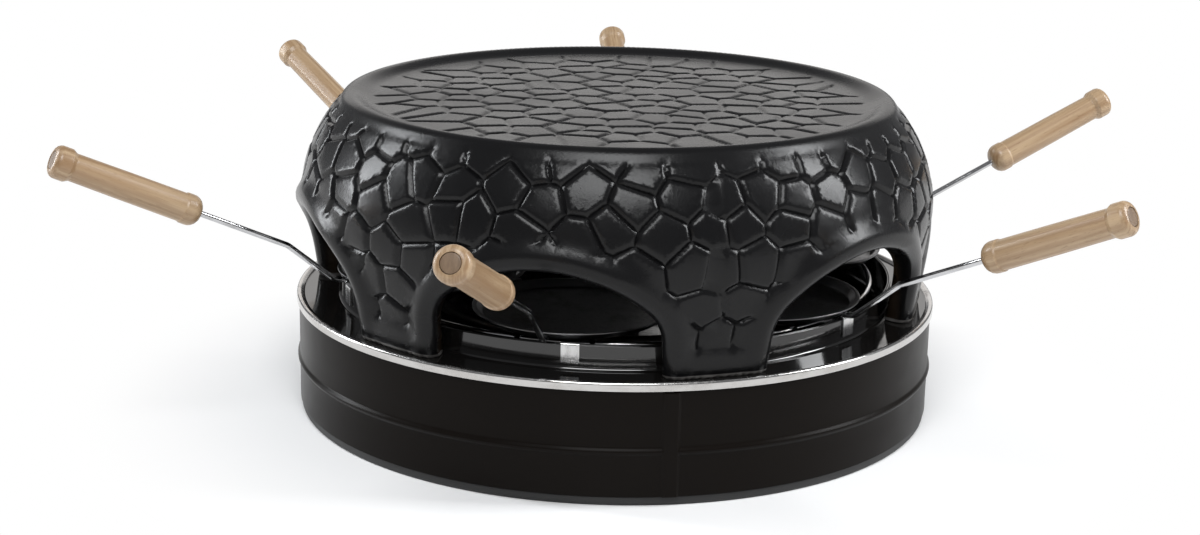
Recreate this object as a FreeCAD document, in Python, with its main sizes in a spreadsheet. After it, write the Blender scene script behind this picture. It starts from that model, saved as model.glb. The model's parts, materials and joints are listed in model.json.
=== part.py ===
import FreeCAD, Part
import math
import os
import random
from collections import Counter
from types import SimpleNamespace

import Sketcher
from FreeCAD import Vector

# A table-top oven for six small pizzas: a glazed dome with six arches stands on
# a round steel base, and six spatulas with wooden grips reach in through the arches.
# The origin is on the table under the middle of the base, with +Z up.
# The front arch faces -Y, and an azimuth is counted from there towards +X.

# Driving dimensions, in millimetres and degrees
SIZES = {
    # Foot, bottom and drum of the base
    "foot_height": 5.5,
    "foot_width": 12.0,
    "foot_setback": 0.8,
    "plate_sheet": 1.0,
    "plate_flange": 5.0,
    "vent_count": 12,
    "vent_margin": 44.0,
    "vent_length": 34.0,
    "vent_width": 5.0,
    "drum_radius": 198.5,
    "drum_height": 63.8,
    "drum_sheet": 1.0,
    "bead_height": 26.5,
    "bead_half": 3.0,
    "bead_round": 3.9,
    "seam_azimuth": 21.5,
    "wall_sectors": 6,
    "seam_width": 9.0,
    "seam_rise": 1.5,
    "slip": 0.15,
    # Tray with its rolled rim and the upstand that centres the dome
    "rim_width": 5.0,
    "rim_rise": 2.0,
    "rim_depth": 5.2,
    "rim_round": 1.4,
    "rim_play": 0.3,
    "tray_sheet": 1.2,
    "tray_bend": 2.0,
    "upstand_height": 14.5,
    # Heater dish, clips and rack
    "dish_sheet": 0.8,
    "dish_depth": 24.0,
    "dish_bend": 7.0,
    "dish_hole": 13.0,
    "arch_count": 6,
    "clip_width": 10.5,
    "clip_sheet": 1.0,
    "clip_reach": 11.5,
    "clip_drop": 5.0,
    "clip_offset": 4.0,
    "clip_length": 11.5,
    "rack_wire": 4.0,
    "rack_margin": 10.85,
    "rack_overlap": 13.5,
    "rack_gauge": 44.0,
    "rack_overhang": 3.0,
    "weld_sink": 1.4,
    # Heating elements
    "element_wire": 6.6,
    "element_fit": 0.2,
    "lower_margin": 54.85,
    "lower_lift": 9.5,
    "lower_gap": 40.0,
    "lower_leg": 22.0,
    "element_bend": 6.0,
    "upper_margin": 34.0,
    "upper_gap": 75.0,
    "upper_leg_circle": 8.0,
    "upper_drop": 10.5,
    "ring_bend": 14.0,
    "pin_wire": 3.2,
    "pin_length": 9.0,
    "saddle_count": 3,
    "saddle_width": 12.0,
    "saddle_sheet": 3.0,
    # Centre column and reflector
    "column_radius": 16.0,
    "column_wall": 2.0,
    "column_margin": 16.7,
    "column_flange": 30.0,
    "column_flange_sheet": 2.0,
    "screw_count": 3,
    "screw_circle": 23.0,
    "screw_wire": 4.0,
    "screw_length": 9.0,
    "screw_head": 7.6,
    "screw_head_height": 2.6,
    "hole_play": 0.3,
    "cutter_reach": 10.0,
    "nut_flats": 7.0,
    "nut_height": 3.2,
    "reflector_margin": 22.0,
    "reflector_sheet": 1.0,
    "reflector_lip": 9.0,
    "reflector_bend": 4.0,
    "bolt_wire": 6.0,
    "bolt_flats": 10.0,
    "bolt_head_height": 4.0,
    "bolt_nut_height": 4.5,
    # Tie rods from the dish to the bottom plate
    "tie_count": 3,
    "tie_margin": 31.65,
    "tie_wire": 5.0,
    "tie_azimuth": 30.0,
    "tie_nut_flats": 8.0,
    "tie_nut_height": 3.4,
    "tie_end": 0.6,
    # Dome
    "dome_gap": 0.3,
    "dome_play": 2.0,
    "dome_height": 126.2,
    "dome_foot": 16.0,
    "dome_belly": 5.0,
    "dome_wall": 12.0,
    "dome_lean": 7.5,
    "shoulder_round": 90.0,
    "plinth_margin": 4.0,
    "plinth_height": 16.0,
    "ring_setback": 23.5,
    "ring_height": 6.4,
    "crest_setback": 7.5,
    "ring_half": 5.5,
    "ring_round": 8.0,
    "ring_inset": 5.0,
    "roof_depth": 4.3,
    "roof_thickness": 10.0,
    "arch_margin": 7.0,
    "arch_spring": 21.2,
    "arch_rise": 40.0,
    "arch_side_round": 25.0,
    "band_width": 17.0,
    "band_rise": 4.5,
    "pillar_drop": 3.0,
    # Cobbles on the dome
    "cobble_size": 24.0,
    "cobble_below": 22.0,
    "cobble_above": 23.3,
    "cobble_step": 1.5,
    "cobble_low": 6.0,
    "cobble_high": 4.5,
    "groove_half": 1.9,
    "groove_depth": 1.6,
    "roof_groove": 1.1,
    "roof_rim": 4.0,
    "roof_lap": 1.5,
    "roof_lift": 0.15,
    "roof_root": 4.0,
    # Spatulas
    "pan_inset": 41.5,
    "pan_spacing": 2.5,
    "pan_flare": 5.5,
    "pan_depth": 5.2,
    "pan_sheet": 1.0,
    "pan_lip": 2.0,
    "pan_gap": 0.3,
    "rod_wire": 3.6,
    "rod_sink": 2.2,
    "rod_level": 2.2,
    "rod_heel": 5.0,
    "rod_reach": 10.0,
    "rod_lift": 24.3,
    "rod_slope": 24.7,
    "rod_run": 58.3,
    "rod_bend": 9.0,
    "grip_length": 92.0,
    "grip_barrel": 8.6,
    "grip_knob": 9.8,
    "grip_heel": 9.3,
    "grip_neck": 8.0,
    "grip_knob_length": 11.0,
    "grip_heel_length": 10.0,
    "grip_neck_length": 2.0,
    "grip_end": 5.4,
    "grip_bore_depth": 55.0,
    "grip_bore_play": 0.05,
    # Switch, lamp and cord gland in the back of the drum
    "switch_azimuth": 166.0,
    "switch_drop": 1.15,
    "switch_width": 22.0,
    "switch_tall": 15.0,
    "switch_bezel": 2.2,
    "switch_wall": 1.3,
    "switch_depth": 17.0,
    "rocker_width": 15.4,
    "rocker_tall": 9.4,
    "rocker_play": 0.4,
    "rocker_crest": 2.9,
    "rocker_waist": 1.2,
    "rocker_root": 3.5,
    "rocker_tilt": 8.0,
    "rocker_pivot": 1.5,
    "rocker_pin": 2.4,
    "rocker_pin_play": 0.05,
    "pocket_depth": 6.5,
    "lamp_azimuth": 175.0,
    "lamp_radius": 4.4,
    "lamp_barrel": 3.4,
    "lamp_head": 2.4,
    "lamp_depth": 11.0,
    "gland_azimuth": 190.0,
    "gland_height": 20.3,
    "gland_radius": 8.0,
    "gland_neck": 6.0,
    "gland_head": 4.0,
    "gland_depth": 11.0,
    "gland_bore": 3.4,
    "gland_nut_flats": 15.5,
    "gland_nut_height": 4.5,
    # Wiring parts inside the base
    "block_length": 44.0,
    "block_width": 18.0,
    "block_tall": 16.0,
    "block_margin": 12.0,
    "block_pitch": 14.0,
    "block_bore": 4.4,
    "block_screw": 3.6,
    "block_screw_depth": 6.0,
    "cutout_radius": 8.0,
    "cutout_depth": 6.5,
    "cutout_ear": 15.0,
    "cutout_sheet": 1.0,
    "cutout_distance": 62.0,
    "cutout_azimuth": 110.0,
    "lead_wire": 2.6,
    "lead_gap": 0.3,
}

# Each spatula is named for its arch: the arch's number and how far its rod is turned aside
SPATULAS = {
    "front": (0, -1.5),
    "right_front": (1, 5.4),
    "right_back": (2, 2.5),
    "back": (3, 20.0),
    "left_back": (4, -5.3),
    "left": (5, 7.9),
}

# Radius of a vent slot's ends, as a share of its width
VENT_ROUNDING = 0.6
# Radius of the rounding on a grip's ends, as a share of the rounded length
END_ROUNDING = 0.7
# Share of the shorter run that a lead's bend takes up
LEAD_ROUNDING = 0.45
# How far the volume of a swept tube may be from that of a straight one
TUBE_TOLERANCE = 0.01
# How far a cobble is moved aside, and the rise of its row, as shares of the cobbles' distance
COBBLE_JITTER = 0.31
ROW_RISE = 0.87
# The most of a small cobble that its groove may take
GROOVE_SHARE = 0.6
# The azimuth where the rows of cobbles begin, the draws that move the cobbles aside, and the roof's sides
COBBLE_AZIMUTH = 30.0
WALL_DRAW = 11
ROOF_DRAW = 21
ROOF_SIDES = 48
# How near to the roof's border a cobble's middle may lie, as a share of the cobbles' distance
ROOF_EDGE = 0.2
# The ways of the terminal block, counted from its middle
BLOCK_WAYS = (-1, 0, 1)

doc = FreeCAD.newDocument("PizzaOven")
sheet = doc.addObject("Spreadsheet::Sheet", "Sizes")
for row, (alias, number) in enumerate(SIZES.items(), start=1):
    sheet.set(f"A{row}", alias)
    sheet.set(f"B{row}", str(number))
    sheet.setAlias(f"B{row}", alias)
doc.recompute()


def text_of(number):
    """The expression of a size, or the plain number."""
    return number.text if isinstance(number, Size) else repr(float(number))


class Size(float):
    """A number that remembers the sheet expression it comes from."""

    def __new__(cls, value, text):
        size = super().__new__(cls, value)
        size.text = text
        return size

    def __add__(self, other):
        return Size(float(self) + float(other), f"({self.text} + {text_of(other)})")

    def __radd__(self, other):
        return Size(float(other) + float(self), f"({text_of(other)} + {self.text})")

    def __sub__(self, other):
        return Size(float(self) - float(other), f"({self.text} - {text_of(other)})")

    def __rsub__(self, other):
        return Size(float(other) - float(self), f"({text_of(other)} - {self.text})")

    def __mul__(self, other):
        return Size(float(self) * float(other), f"({self.text} * {text_of(other)})")

    def __rmul__(self, other):
        return Size(float(other) * float(self), f"({text_of(other)} * {self.text})")

    def __truediv__(self, other):
        return Size(float(self) / float(other), f"({self.text} / {text_of(other)})")

    def __rtruediv__(self, other):
        return Size(float(other) / float(self), f"({text_of(other)} / {self.text})")

    def __neg__(self):
        return Size(-float(self), f"(-1 * {self.text})")


def root(number):
    return Size(math.sqrt(number), f"sqrt({text_of(number)})")


def sine(degrees):
    return Size(math.sin(math.radians(degrees)), f"sin({text_of(degrees)})")


def cosine(degrees):
    return Size(math.cos(math.radians(degrees)), f"cos({text_of(degrees)})")


size = SimpleNamespace(**{alias: Size(sheet.get(alias), f"Sizes.{alias}") for alias in SIZES})

# Heights that several pieces share, from the table up
plate_top = size.foot_height + size.plate_sheet
tray_under = size.foot_height + size.drum_height
flange_top = tray_under + size.tray_sheet
rim_top = flange_top + size.rim_rise
skirt_bottom = rim_top - size.rim_depth
bead_low = size.foot_height + size.bead_height - size.bead_half
bead_high = size.foot_height + size.bead_height + size.bead_half
switch_height = (bead_high + skirt_bottom) / 2 - size.switch_drop
upstand_top = flange_top + size.upstand_height
dish_floor = upstand_top - size.dish_depth
dish_under = dish_floor - size.dish_sheet
leg_bottom = dish_floor - size.lower_leg
lower_level = dish_floor + size.lower_lift
wire_radius = size.rack_wire / 2
tab_top = upstand_top - size.clip_drop
ring_level = tab_top + wire_radius
rail_level = ring_level + size.rack_wire - size.weld_sink
pan_bottom = rail_level + wire_radius + size.pan_gap
dome_bottom = flange_top + size.dome_gap
crest_top = dome_bottom + size.dome_height
roof_top = crest_top - size.roof_depth
roof_under = roof_top - size.roof_thickness
column_top = roof_under - size.column_margin
upper_level = column_top - size.upper_drop
element_radius = size.element_wire / 2

# Radii that several pieces share, from the rim inwards
drum_inner = size.drum_radius - size.drum_sheet
rim_radius = size.drum_radius + size.rim_play + size.tray_sheet
plinth_radius = rim_radius - size.rim_width - size.plinth_margin
dome_radius = plinth_radius + size.dome_belly
ring_foot = dome_radius - size.ring_setback
ring_crest = ring_foot - size.crest_setback
foot_inner = plinth_radius - size.dome_foot
upstand_radius = foot_inner - size.dome_play
upstand_inner = upstand_radius - size.tray_sheet
dish_outer = upstand_inner - size.slip
dish_inner = dish_outer - size.dish_sheet
lower_circle = dish_inner - size.lower_margin
tie_circle = dish_outer - size.tie_margin
block_distance = tie_circle - size.block_margin
vent_circle = tie_circle - size.vent_margin
rack_outer = dish_inner - size.rack_margin
reflector_radius = rack_outer - size.reflector_margin
upper_circle = reflector_radius - size.upper_margin
arch_step = 360 / size.arch_count
pan_circle = rack_outer - size.pan_inset
pan_radius = pan_circle * sine(arch_step / 2) - size.pan_spacing / 2
rack_inner = pan_circle - pan_radius + size.rack_overlap
arch_half = pan_radius + size.arch_margin


def bind(thing, **sizes):
    """Sets properties and ties them to the sheet where they come from it."""
    for name, value in sizes.items():
        setattr(thing, name, float(value))
        if isinstance(value, Size):
            thing.setExpression(name, value.text)
    return thing


def vector_text(x, y, z):
    return f"vector({text_of(x)}; {text_of(y)}; {text_of(z)})"


def shift(x, y, z):
    return f"placement({vector_text(x, y, z)}; rotation(vector(0; 0; 1); 0))"


def turn(axis, degrees):
    return f"placement(vector(0; 0; 0); rotation(vector({axis}); {text_of(degrees)}))"


def turn_z(degrees):
    return turn("0; 0; 1", degrees)


def turn_x(degrees):
    return turn("1; 0; 0", degrees)


def place(thing, *steps):
    """Ties a placement to the product of its steps, the last one done first."""
    thing.setExpression("Placement", " * ".join(steps))
    return thing


def origin_part(body, role):
    for feature in body.Origin.OriginFeatures:
        if feature.Role == role:
            return feature
    raise LookupError(role)


def new_sketch(body, plane, name):
    sketch = body.newObject("Sketcher::SketchObject", name)
    sketch.AttachmentSupport = (origin_part(body, plane), "")
    sketch.MapMode = "FlatFace"
    return sketch


def constrain(sketch, rules):
    """Adds constraints and ties their values to the sheet."""
    for rule in rules:
        index = sketch.addConstraint(Sketcher.Constraint(*rule))
        if isinstance(rule[-1], Size):
            sketch.setExpression(f"Constraints[{index}]", rule[-1].text)


def point_rules(geometry, end, x, y):
    """Two constraints that put a point at (x, y)."""
    rules = []
    for kind, axis, value in (("DistanceX", -2, x), ("DistanceY", -1, y)):
        if float(value) == 0:
            rules.append(("PointOnObject", geometry, end, axis))
        else:
            rules.append((kind, -1, 1, geometry, end, value))
    return rules


def arc_between(start, end, radius):
    """An arc from start to end: a positive radius has its centre on the left."""
    chord = end - start
    left = Vector(-chord.y, chord.x, 0).normalize()
    reach = math.sqrt(max(radius * radius - chord.Length ** 2 / 4, 0))
    centre = start + chord * 0.5 + left * math.copysign(reach, radius)
    first, last = (start, end) if radius > 0 else (end, start)
    angles = [math.atan2(point.y - centre.y, point.x - centre.x) for point in (first, last)]
    circle = Part.Circle(centre, Vector(0, 0, 1), abs(float(radius)))
    return Part.ArcOfCircle(circle, *angles)


def outline_sketch(body, plane, corners, name):
    """A closed outline of (x, y) corners, where (x, y, radius) starts an arc."""
    sketch = new_sketch(body, plane, name)
    spots = [Vector(float(corner[0]), float(corner[1]), 0) for corner in corners]
    ends = []
    for index, corner in enumerate(corners):
        start = spots[index]
        end = spots[(index + 1) % len(spots)]
        if len(corner) == 3:
            sketch.addGeometry(arc_between(start, end, corner[2]))
            ends.append((1, 2) if corner[2] > 0 else (2, 1))
        else:
            sketch.addGeometry(Part.LineSegment(start, end))
            ends.append((1, 2))
    rules = []
    for index, corner in enumerate(corners):
        follower = (index + 1) % len(corners)
        rules.append(("Coincident", index, ends[index][1], follower, ends[follower][0]))
        rules.extend(point_rules(index, ends[index][0], corner[0], corner[1]))
        if len(corner) == 3:
            radius = corner[2] if corner[2] > 0 else -corner[2]
            rules.append(("Radius", index, radius))
    constrain(sketch, rules)
    return sketch


def new_body(name):
    return doc.addObject("PartDesign::Body", name)


def turned(name, corners):
    """A body turned about its own Z axis, from an outline of (radius, height) corners."""
    body = new_body(name)
    sketch = outline_sketch(body, "XZ_Plane", corners, name + "_section")
    spin = body.newObject("PartDesign::Revolution", name + "_turn")
    spin.Profile = sketch
    spin.ReferenceAxis = (sketch, ["V_Axis"])
    spin.Angle = 360
    return body


def padded(name, plane, corners, length):
    """A body raised evenly to both sides of a plane."""
    body = new_body(name)
    sketch = outline_sketch(body, plane, corners, name + "_outline")
    pad = body.newObject("PartDesign::Pad", name + "_pad")
    pad.Profile = sketch
    pad.SideType = "Symmetric"
    bind(pad, Length=length)
    return body


def ring_pattern(body, feature, count):
    """Repeats a feature of a body evenly about Z."""
    pattern = body.newObject("PartDesign::PolarPattern", feature.Name + "_ring")
    pattern.Originals = [feature]
    pattern.Axis = (origin_part(body, "Z_Axis"), [""])
    pattern.Angle = 360
    pattern.Occurrences = int(count)
    pattern.setExpression("Occurrences", count.text)
    body.Tip = pattern
    return pattern


def cut_through(body, sketch):
    pocket = body.newObject("PartDesign::Pocket", sketch.Name + "_cut")
    pocket.Profile = sketch
    pocket.Type = "ThroughAll"
    pocket.SideType = "Symmetric"
    return pocket


def hole_sketch(body, name, radius, distance, azimuth):
    """A round hole at an azimuth, seen from above."""
    x = distance * sine(azimuth)
    y = -(distance * cosine(azimuth))
    sketch = new_sketch(body, "XY_Plane", name)
    sketch.addGeometry(Part.Circle(Vector(float(x), float(y), 0), Vector(0, 0, 1), float(radius)))
    constrain(sketch, point_rules(0, 3, x, y) + [("Radius", 0, radius)])
    return sketch


def drill(body, name, radius, distance, azimuth):
    return cut_through(body, hole_sketch(body, name, radius, distance, azimuth))


def cylinder(name, radius, height, *steps):
    return place(bind(doc.addObject("Part::Cylinder", name), Radius=radius, Height=height), *steps)


def box(name, length, width, height, *steps):
    block = bind(doc.addObject("Part::Box", name), Length=length, Width=width, Height=height)
    middle = shift(-1 * length / 2, -1 * width / 2, 0)
    return place(block, *steps, middle)


def hexagon(name, flats, height, *steps):
    prism = doc.addObject("Part::Prism", name)
    prism.Polygon = 6
    return place(bind(prism, Circumradius=flats / cosine(30) / 2, Height=height), *steps)


def nut(name, flats, height, bore, *steps):
    """A hexagon nut with a plain bore, standing where its steps put it."""
    block = hexagon(name + "_block", flats, height, *steps)
    hole = cylinder(name + "_bore", bore + size.slip, 2 * height, *steps, shift(0, 0, -height / 2))
    return cut(name, block, hole)


def fused(name, pieces):
    whole = doc.addObject("Part::MultiFuse", name)
    whole.Shapes = pieces
    return whole


def cut(name, base, tool):
    rest = doc.addObject("Part::Cut", name)
    rest.Base = base
    rest.Tool = tool
    return rest


def group(name, pieces):
    """Like pieces in one node, each a solid of its own."""
    bundle = doc.addObject("Part::Compound", name)
    bundle.Links = pieces
    return bundle


def around(count, start=0.0):
    """The azimuths of a number of like things about Z."""
    return [start + 360 / count * index for index in range(int(count))]


def direction(azimuth):
    return Vector(float(sine(azimuth)), -float(cosine(azimuth)), 0)


def foot_ring():
    outer = size.drum_radius - size.foot_setback
    inner = outer - size.foot_width
    return turned("foot_ring", [
        (inner, 0), (outer, 0), (outer, size.foot_height), (inner, size.foot_height)])


def bottom_plate():
    outer = drum_inner - size.slip
    inner = outer - size.plate_sheet
    top = size.foot_height + size.plate_flange
    body = turned("bottom_plate", [
        (0, size.foot_height), (outer, size.foot_height), (outer, top),
        (inner, top), (inner, plate_top), (0, plate_top)])
    near = vent_circle - size.vent_length / 2
    far = vent_circle + size.vent_length / 2
    half = size.vent_width / 2
    end_round = size.vent_width * VENT_ROUNDING
    slot = outline_sketch(body, "XY_Plane", [
        (near, -half), (far, -half, end_round), (far, half), (near, half, end_round)], "vent_slot")
    ring_pattern(body, cut_through(body, slot), size.vent_count)
    hole = drill(body, "tie_hole", size.tie_wire / 2 + size.hole_play, tie_circle, size.tie_azimuth)
    ring_pattern(body, hole, size.tie_count)
    return body


def wall_cutters():
    """The openings for the switch, the lamp and the gland in the back of the drum."""
    reach = size.cutter_reach
    middle = -1 * size.drum_radius
    switch = box(
        "switch_hole", size.switch_width - 2 * size.switch_wall + 2 * size.hole_play, 2 * reach,
        size.switch_tall - 2 * size.switch_wall + 2 * size.hole_play,
        turn_z(size.switch_azimuth),
        shift(0, middle, switch_height - size.switch_tall / 2 + size.switch_wall - size.hole_play))
    lamp = cylinder(
        "lamp_hole", size.lamp_barrel + size.hole_play, 2 * reach,
        turn_z(size.lamp_azimuth), shift(0, middle + reach, switch_height), turn_x(90))
    gland = cylinder(
        "gland_hole", size.gland_neck + size.hole_play, 2 * reach,
        turn_z(size.gland_azimuth), shift(0, middle + reach, size.gland_height), turn_x(90))
    return fused("wall_openings", [switch, lamp, gland])


def drum_wall():
    """A rolled sheet with a bead and a lock seam, held as sectors that meet face to face."""
    outer = size.drum_radius
    sheet_body = turned("drum_sheet", [
        (drum_inner, size.foot_height), (outer, size.foot_height), (outer, bead_low, size.bead_round),
        (outer, bead_high), (outer, tray_under), (drum_inner, tray_under),
        (drum_inner, bead_high, -size.bead_round), (drum_inner, bead_low)])
    seam_outer = outer + size.seam_rise
    seam_middle = outer - size.drum_sheet / 2
    seam_top = skirt_bottom - size.rim_play
    seam = turned("seam_strip", [
        (seam_middle, size.foot_height), (seam_outer, size.foot_height),
        (seam_outer, seam_top), (seam_middle, seam_top)])
    wedge = box("seam_wedge", size.seam_width, 2 * size.seam_width, tray_under,
                turn_z(size.seam_azimuth), shift(0, -outer, 0))
    strip = doc.addObject("Part::Common", "lock_seam")
    strip.Base = seam
    strip.Tool = wedge
    wall = cut("drum_sheet_with_openings", fused("drum_with_seam", [sheet_body, strip]), wall_cutters())
    sectors = []
    for index, azimuth in enumerate(around(size.wall_sectors)):
        slice_block = cylinder(f"wall_slice_{index}", outer + size.cutter_reach, tray_under, turn_z(azimuth))
        bind(slice_block, Angle=360 / size.wall_sectors)
        sector = doc.addObject("Part::Common", f"wall_sector_{index}")
        sector.Base = wall
        sector.Tool = slice_block
        sectors.append(sector)
    return group("drum_wall", sectors)


def tray():
    skirt_inner = rim_radius - size.tray_sheet
    crest_inner = rim_radius - size.rim_width / 2
    return turned("tray", [
        (rim_radius, skirt_bottom), (rim_radius, rim_top - size.rim_round, size.rim_round),
        (rim_radius - size.rim_round, rim_top), (crest_inner, rim_top),
        (rim_radius - size.rim_width, flange_top),
        (upstand_radius + size.tray_bend, flange_top, -size.tray_bend),
        (upstand_radius, flange_top + size.tray_bend), (upstand_radius, upstand_top),
        (upstand_inner, upstand_top), (upstand_inner, tray_under),
        (skirt_inner, tray_under), (skirt_inner, skirt_bottom)])


def lower_ends():
    """The azimuths where the lower element's ring ends, on both sides of the back."""
    return [180 - size.lower_gap / 2, 180 + size.lower_gap / 2]


def lower_legs():
    """Distance and azimuth of both legs, which stand a bend's length past the ring's ends."""
    distance = root(lower_circle * lower_circle + size.element_bend * size.element_bend)
    lag = math.degrees(math.atan2(size.element_bend, lower_circle))
    right, left = lower_ends()
    return [(distance, right + lag), (distance, left - lag)]


def upper_legs():
    """Distance and azimuth of both legs of the upper element, inside the column."""
    half = size.upper_gap / 2
    return [(size.upper_leg_circle, 180 - half), (size.upper_leg_circle, 180 + half)]


def heater_dish():
    bend = size.dish_bend
    inner_bend = bend - size.dish_sheet
    body = turned("heater_dish", [
        (size.dish_hole, dish_under), (dish_outer - bend, dish_under, bend),
        (dish_outer, dish_under + bend), (dish_outer, upstand_top), (dish_inner, upstand_top),
        (dish_inner, dish_floor + inner_bend, -inner_bend), (dish_inner - inner_bend, dish_floor),
        (size.dish_hole, dish_floor)])
    hole_radius = size.screw_wire / 2 + size.hole_play
    screw = drill(body, "screw_hole", hole_radius, size.screw_circle, size.tie_azimuth)
    ring_pattern(body, screw, size.screw_count)
    for index, leg in enumerate(lower_legs()):
        drill(body, f"leg_hole_{index}", element_radius + size.hole_play, *leg)
    return body


def rack_clips():
    gap = size.slip
    outer = upstand_radius + gap
    outer_face = outer + size.clip_sheet
    inner = dish_inner - gap
    inner_face = inner - size.clip_sheet
    under = upstand_top + gap
    top = under + size.clip_sheet
    low = top - size.clip_length
    tip = inner - size.clip_reach - size.clip_sheet
    tab_under = tab_top - size.clip_sheet
    body = padded("rack_clips", "XZ_Plane", [
        (outer_face, low), (outer_face, top), (inner_face, top), (inner_face, tab_top),
        (tip, tab_top), (tip, tab_under), (inner, tab_under), (inner, under),
        (outer, under), (outer, low)], size.clip_width)
    ring_pattern(body, body.Tip, size.arch_count)
    return place(body, turn_z(size.clip_offset - 90))


def rack_ring(name, radius):
    hoop = bind(doc.addObject("Part::Torus", name), Radius1=radius, Radius2=wire_radius)
    return place(hoop, shift(0, 0, ring_level))


def pan_rack():
    """Two rings and the rails on them, which lie in welded notches of the rings."""
    half = size.rack_gauge / 2
    near = root(rack_inner * rack_inner - half * half) - size.rack_overhang
    far = root(rack_outer * rack_outer - half * half) + size.rack_overhang
    rails = []
    for index, azimuth in enumerate(around(size.arch_count)):
        for side in (-1, 1):
            rails.append(cylinder(f"rack_rail_{index}_{side + 1}", wire_radius, far - near,
                                  turn_z(azimuth), shift(side * half, -near, rail_level), turn_x(90)))
    rails = group("rack_rails", rails)
    outer = rack_ring("rack_outer_hoop", rack_outer)
    inner = rack_ring("rack_inner_hoop", rack_inner)
    return [cut("rack_rings", group("rack_hoops", [outer, inner]), rails), rails]


def swept_tube(name, edges, radius):
    """A round tube along edges that run smoothly into each other."""
    path = Part.Wire(edges)
    start = edges[0].valueAt(edges[0].FirstParameter)
    along = edges[0].tangentAt(edges[0].FirstParameter)
    section = Part.Wire([Part.Circle(start, along, float(radius)).toShape()])
    tube = doc.addObject("Part::Feature", name)
    tube.Shape = path.makePipeShell([section], True, False)
    expected = math.pi * radius * radius * path.Length
    if abs(tube.Shape.Volume / expected - 1) > TUBE_TOLERANCE:
        raise ValueError(name + " is not a plain tube")
    return tube


def line(start, end):
    return Part.LineSegment(start, end).toShape()


def arc(start, middle, end):
    return Part.Arc(start, middle, end).toShape()


def quarter_turn(corner, back, onward, bend):
    """The arc of a right-angled bend whose runs lie along back and onward from its corner."""
    centre = corner + (back + onward) * bend
    middle = centre - (back + onward).normalize() * bend
    return arc(corner + back * bend, middle, corner + onward * bend)


def circle_arc(radius, level, first, last):
    """An arc about Z from the first azimuth to the last."""
    up = Vector(0, 0, level)
    spots = [up + direction(azimuth) * radius for azimuth in (first, (first + last) / 2, last)]
    return arc(*spots)


def lower_half(azimuth, side):
    """From the foot of one leg up through the dish floor and into the ring."""
    up = Vector(0, 0, 1)
    bend = float(size.element_bend)
    ahead = direction(azimuth + 90) * side
    corner = direction(azimuth) * float(lower_circle) - ahead * bend + up * float(lower_level)
    foot = Vector(corner.x, corner.y, leg_bottom)
    return [line(foot, corner - up * bend), quarter_turn(corner, -up, ahead, bend)]


def reversed_edges(edges):
    """The same runs and arcs, followed from the far end."""
    back = []
    for edge in reversed(edges):
        first = edge.FirstParameter
        last = edge.LastParameter
        if edge.Curve.TypeId == "Part::GeomLine":
            back.append(line(edge.valueAt(last), edge.valueAt(first)))
        else:
            back.append(arc(edge.valueAt(last), edge.valueAt((first + last) / 2), edge.valueAt(first)))
    return back


def lower_element():
    """An open ring over the dish floor, with both ends bent down through the floor."""
    first, last = lower_ends()
    ring = circle_arc(float(lower_circle), lower_level, last - 360, first)
    edges = lower_half(last, 1) + [ring] + reversed_edges(lower_half(first, -1))
    return swept_tube("lower_element", edges, element_radius)


def upper_half(azimuth, side):
    """From the foot of one leg up, out and into the ring: the edges and the end's azimuth."""
    out = direction(azimuth)
    across = direction(azimuth + 90) * side
    up = Vector(0, 0, 1)
    level = up * float(upper_level)
    bend = float(size.element_bend)
    ring_bend = float(size.ring_bend)
    radius = float(upper_circle)
    corner = out * float(size.upper_leg_circle) + level
    foot = Vector(corner.x, corner.y, leg_bottom)
    centre_out = math.sqrt((radius - ring_bend) ** 2 - ring_bend ** 2)
    centre = out * centre_out + across * ring_bend + level
    outward = (centre - level).normalize()
    leaving = out * centre_out + level
    joining = centre + outward * ring_bend
    middle = centre + (outward - across).normalize() * ring_bend
    edges = [
        line(foot, corner - up * bend), quarter_turn(corner, -up, out, bend),
        line(corner + out * bend, leaving), arc(leaving, middle, joining)]
    return edges, azimuth + side * math.degrees(math.atan2(ring_bend, centre_out))


def upper_element():
    """An open ring under the reflector, fed by two legs that rise inside the column."""
    first, last = [azimuth for distance, azimuth in upper_legs()]
    up_edges, start = upper_half(last, 1)
    down_edges, end = upper_half(first, -1)
    ring = circle_arc(float(upper_circle), upper_level, start - 360, end)
    return swept_tube("upper_element", up_edges + [ring] + reversed_edges(down_edges), element_radius)


def element_pins():
    """The connection pins at the lower ends of the four legs."""
    pins = []
    for index, (distance, azimuth) in enumerate(lower_legs() + upper_legs()):
        pins.append(cylinder(f"element_pin_{index}", size.pin_wire / 2, size.pin_length,
                             turn_z(azimuth), shift(0, -1 * distance, leg_bottom - size.pin_length)))
    return group("element_pins", pins)


def saddles(name, bottom, height, circle, level):
    """Blocks on a ring's line, each with a round seat for the ring."""
    blocks = []
    for index, azimuth in enumerate(around(size.saddle_count)):
        block = box(f"{name}_block_{index}", size.saddle_sheet, size.saddle_width, height,
                    turn_z(azimuth), shift(0, -1 * circle, bottom))
        seat = bind(doc.addObject("Part::Torus", f"{name}_seat_{index}"), Radius1=circle,
                    Radius2=element_radius + size.element_fit)
        blocks.append(cut(f"{name}_{index}", block, place(seat, shift(0, 0, level))))
    return group(name, blocks)


def lower_saddles():
    return saddles("lower_saddles", dish_floor, size.lower_lift, lower_circle, lower_level)


def upper_hangers():
    return saddles("upper_hangers", upper_level, size.upper_drop, upper_circle, upper_level)


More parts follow.
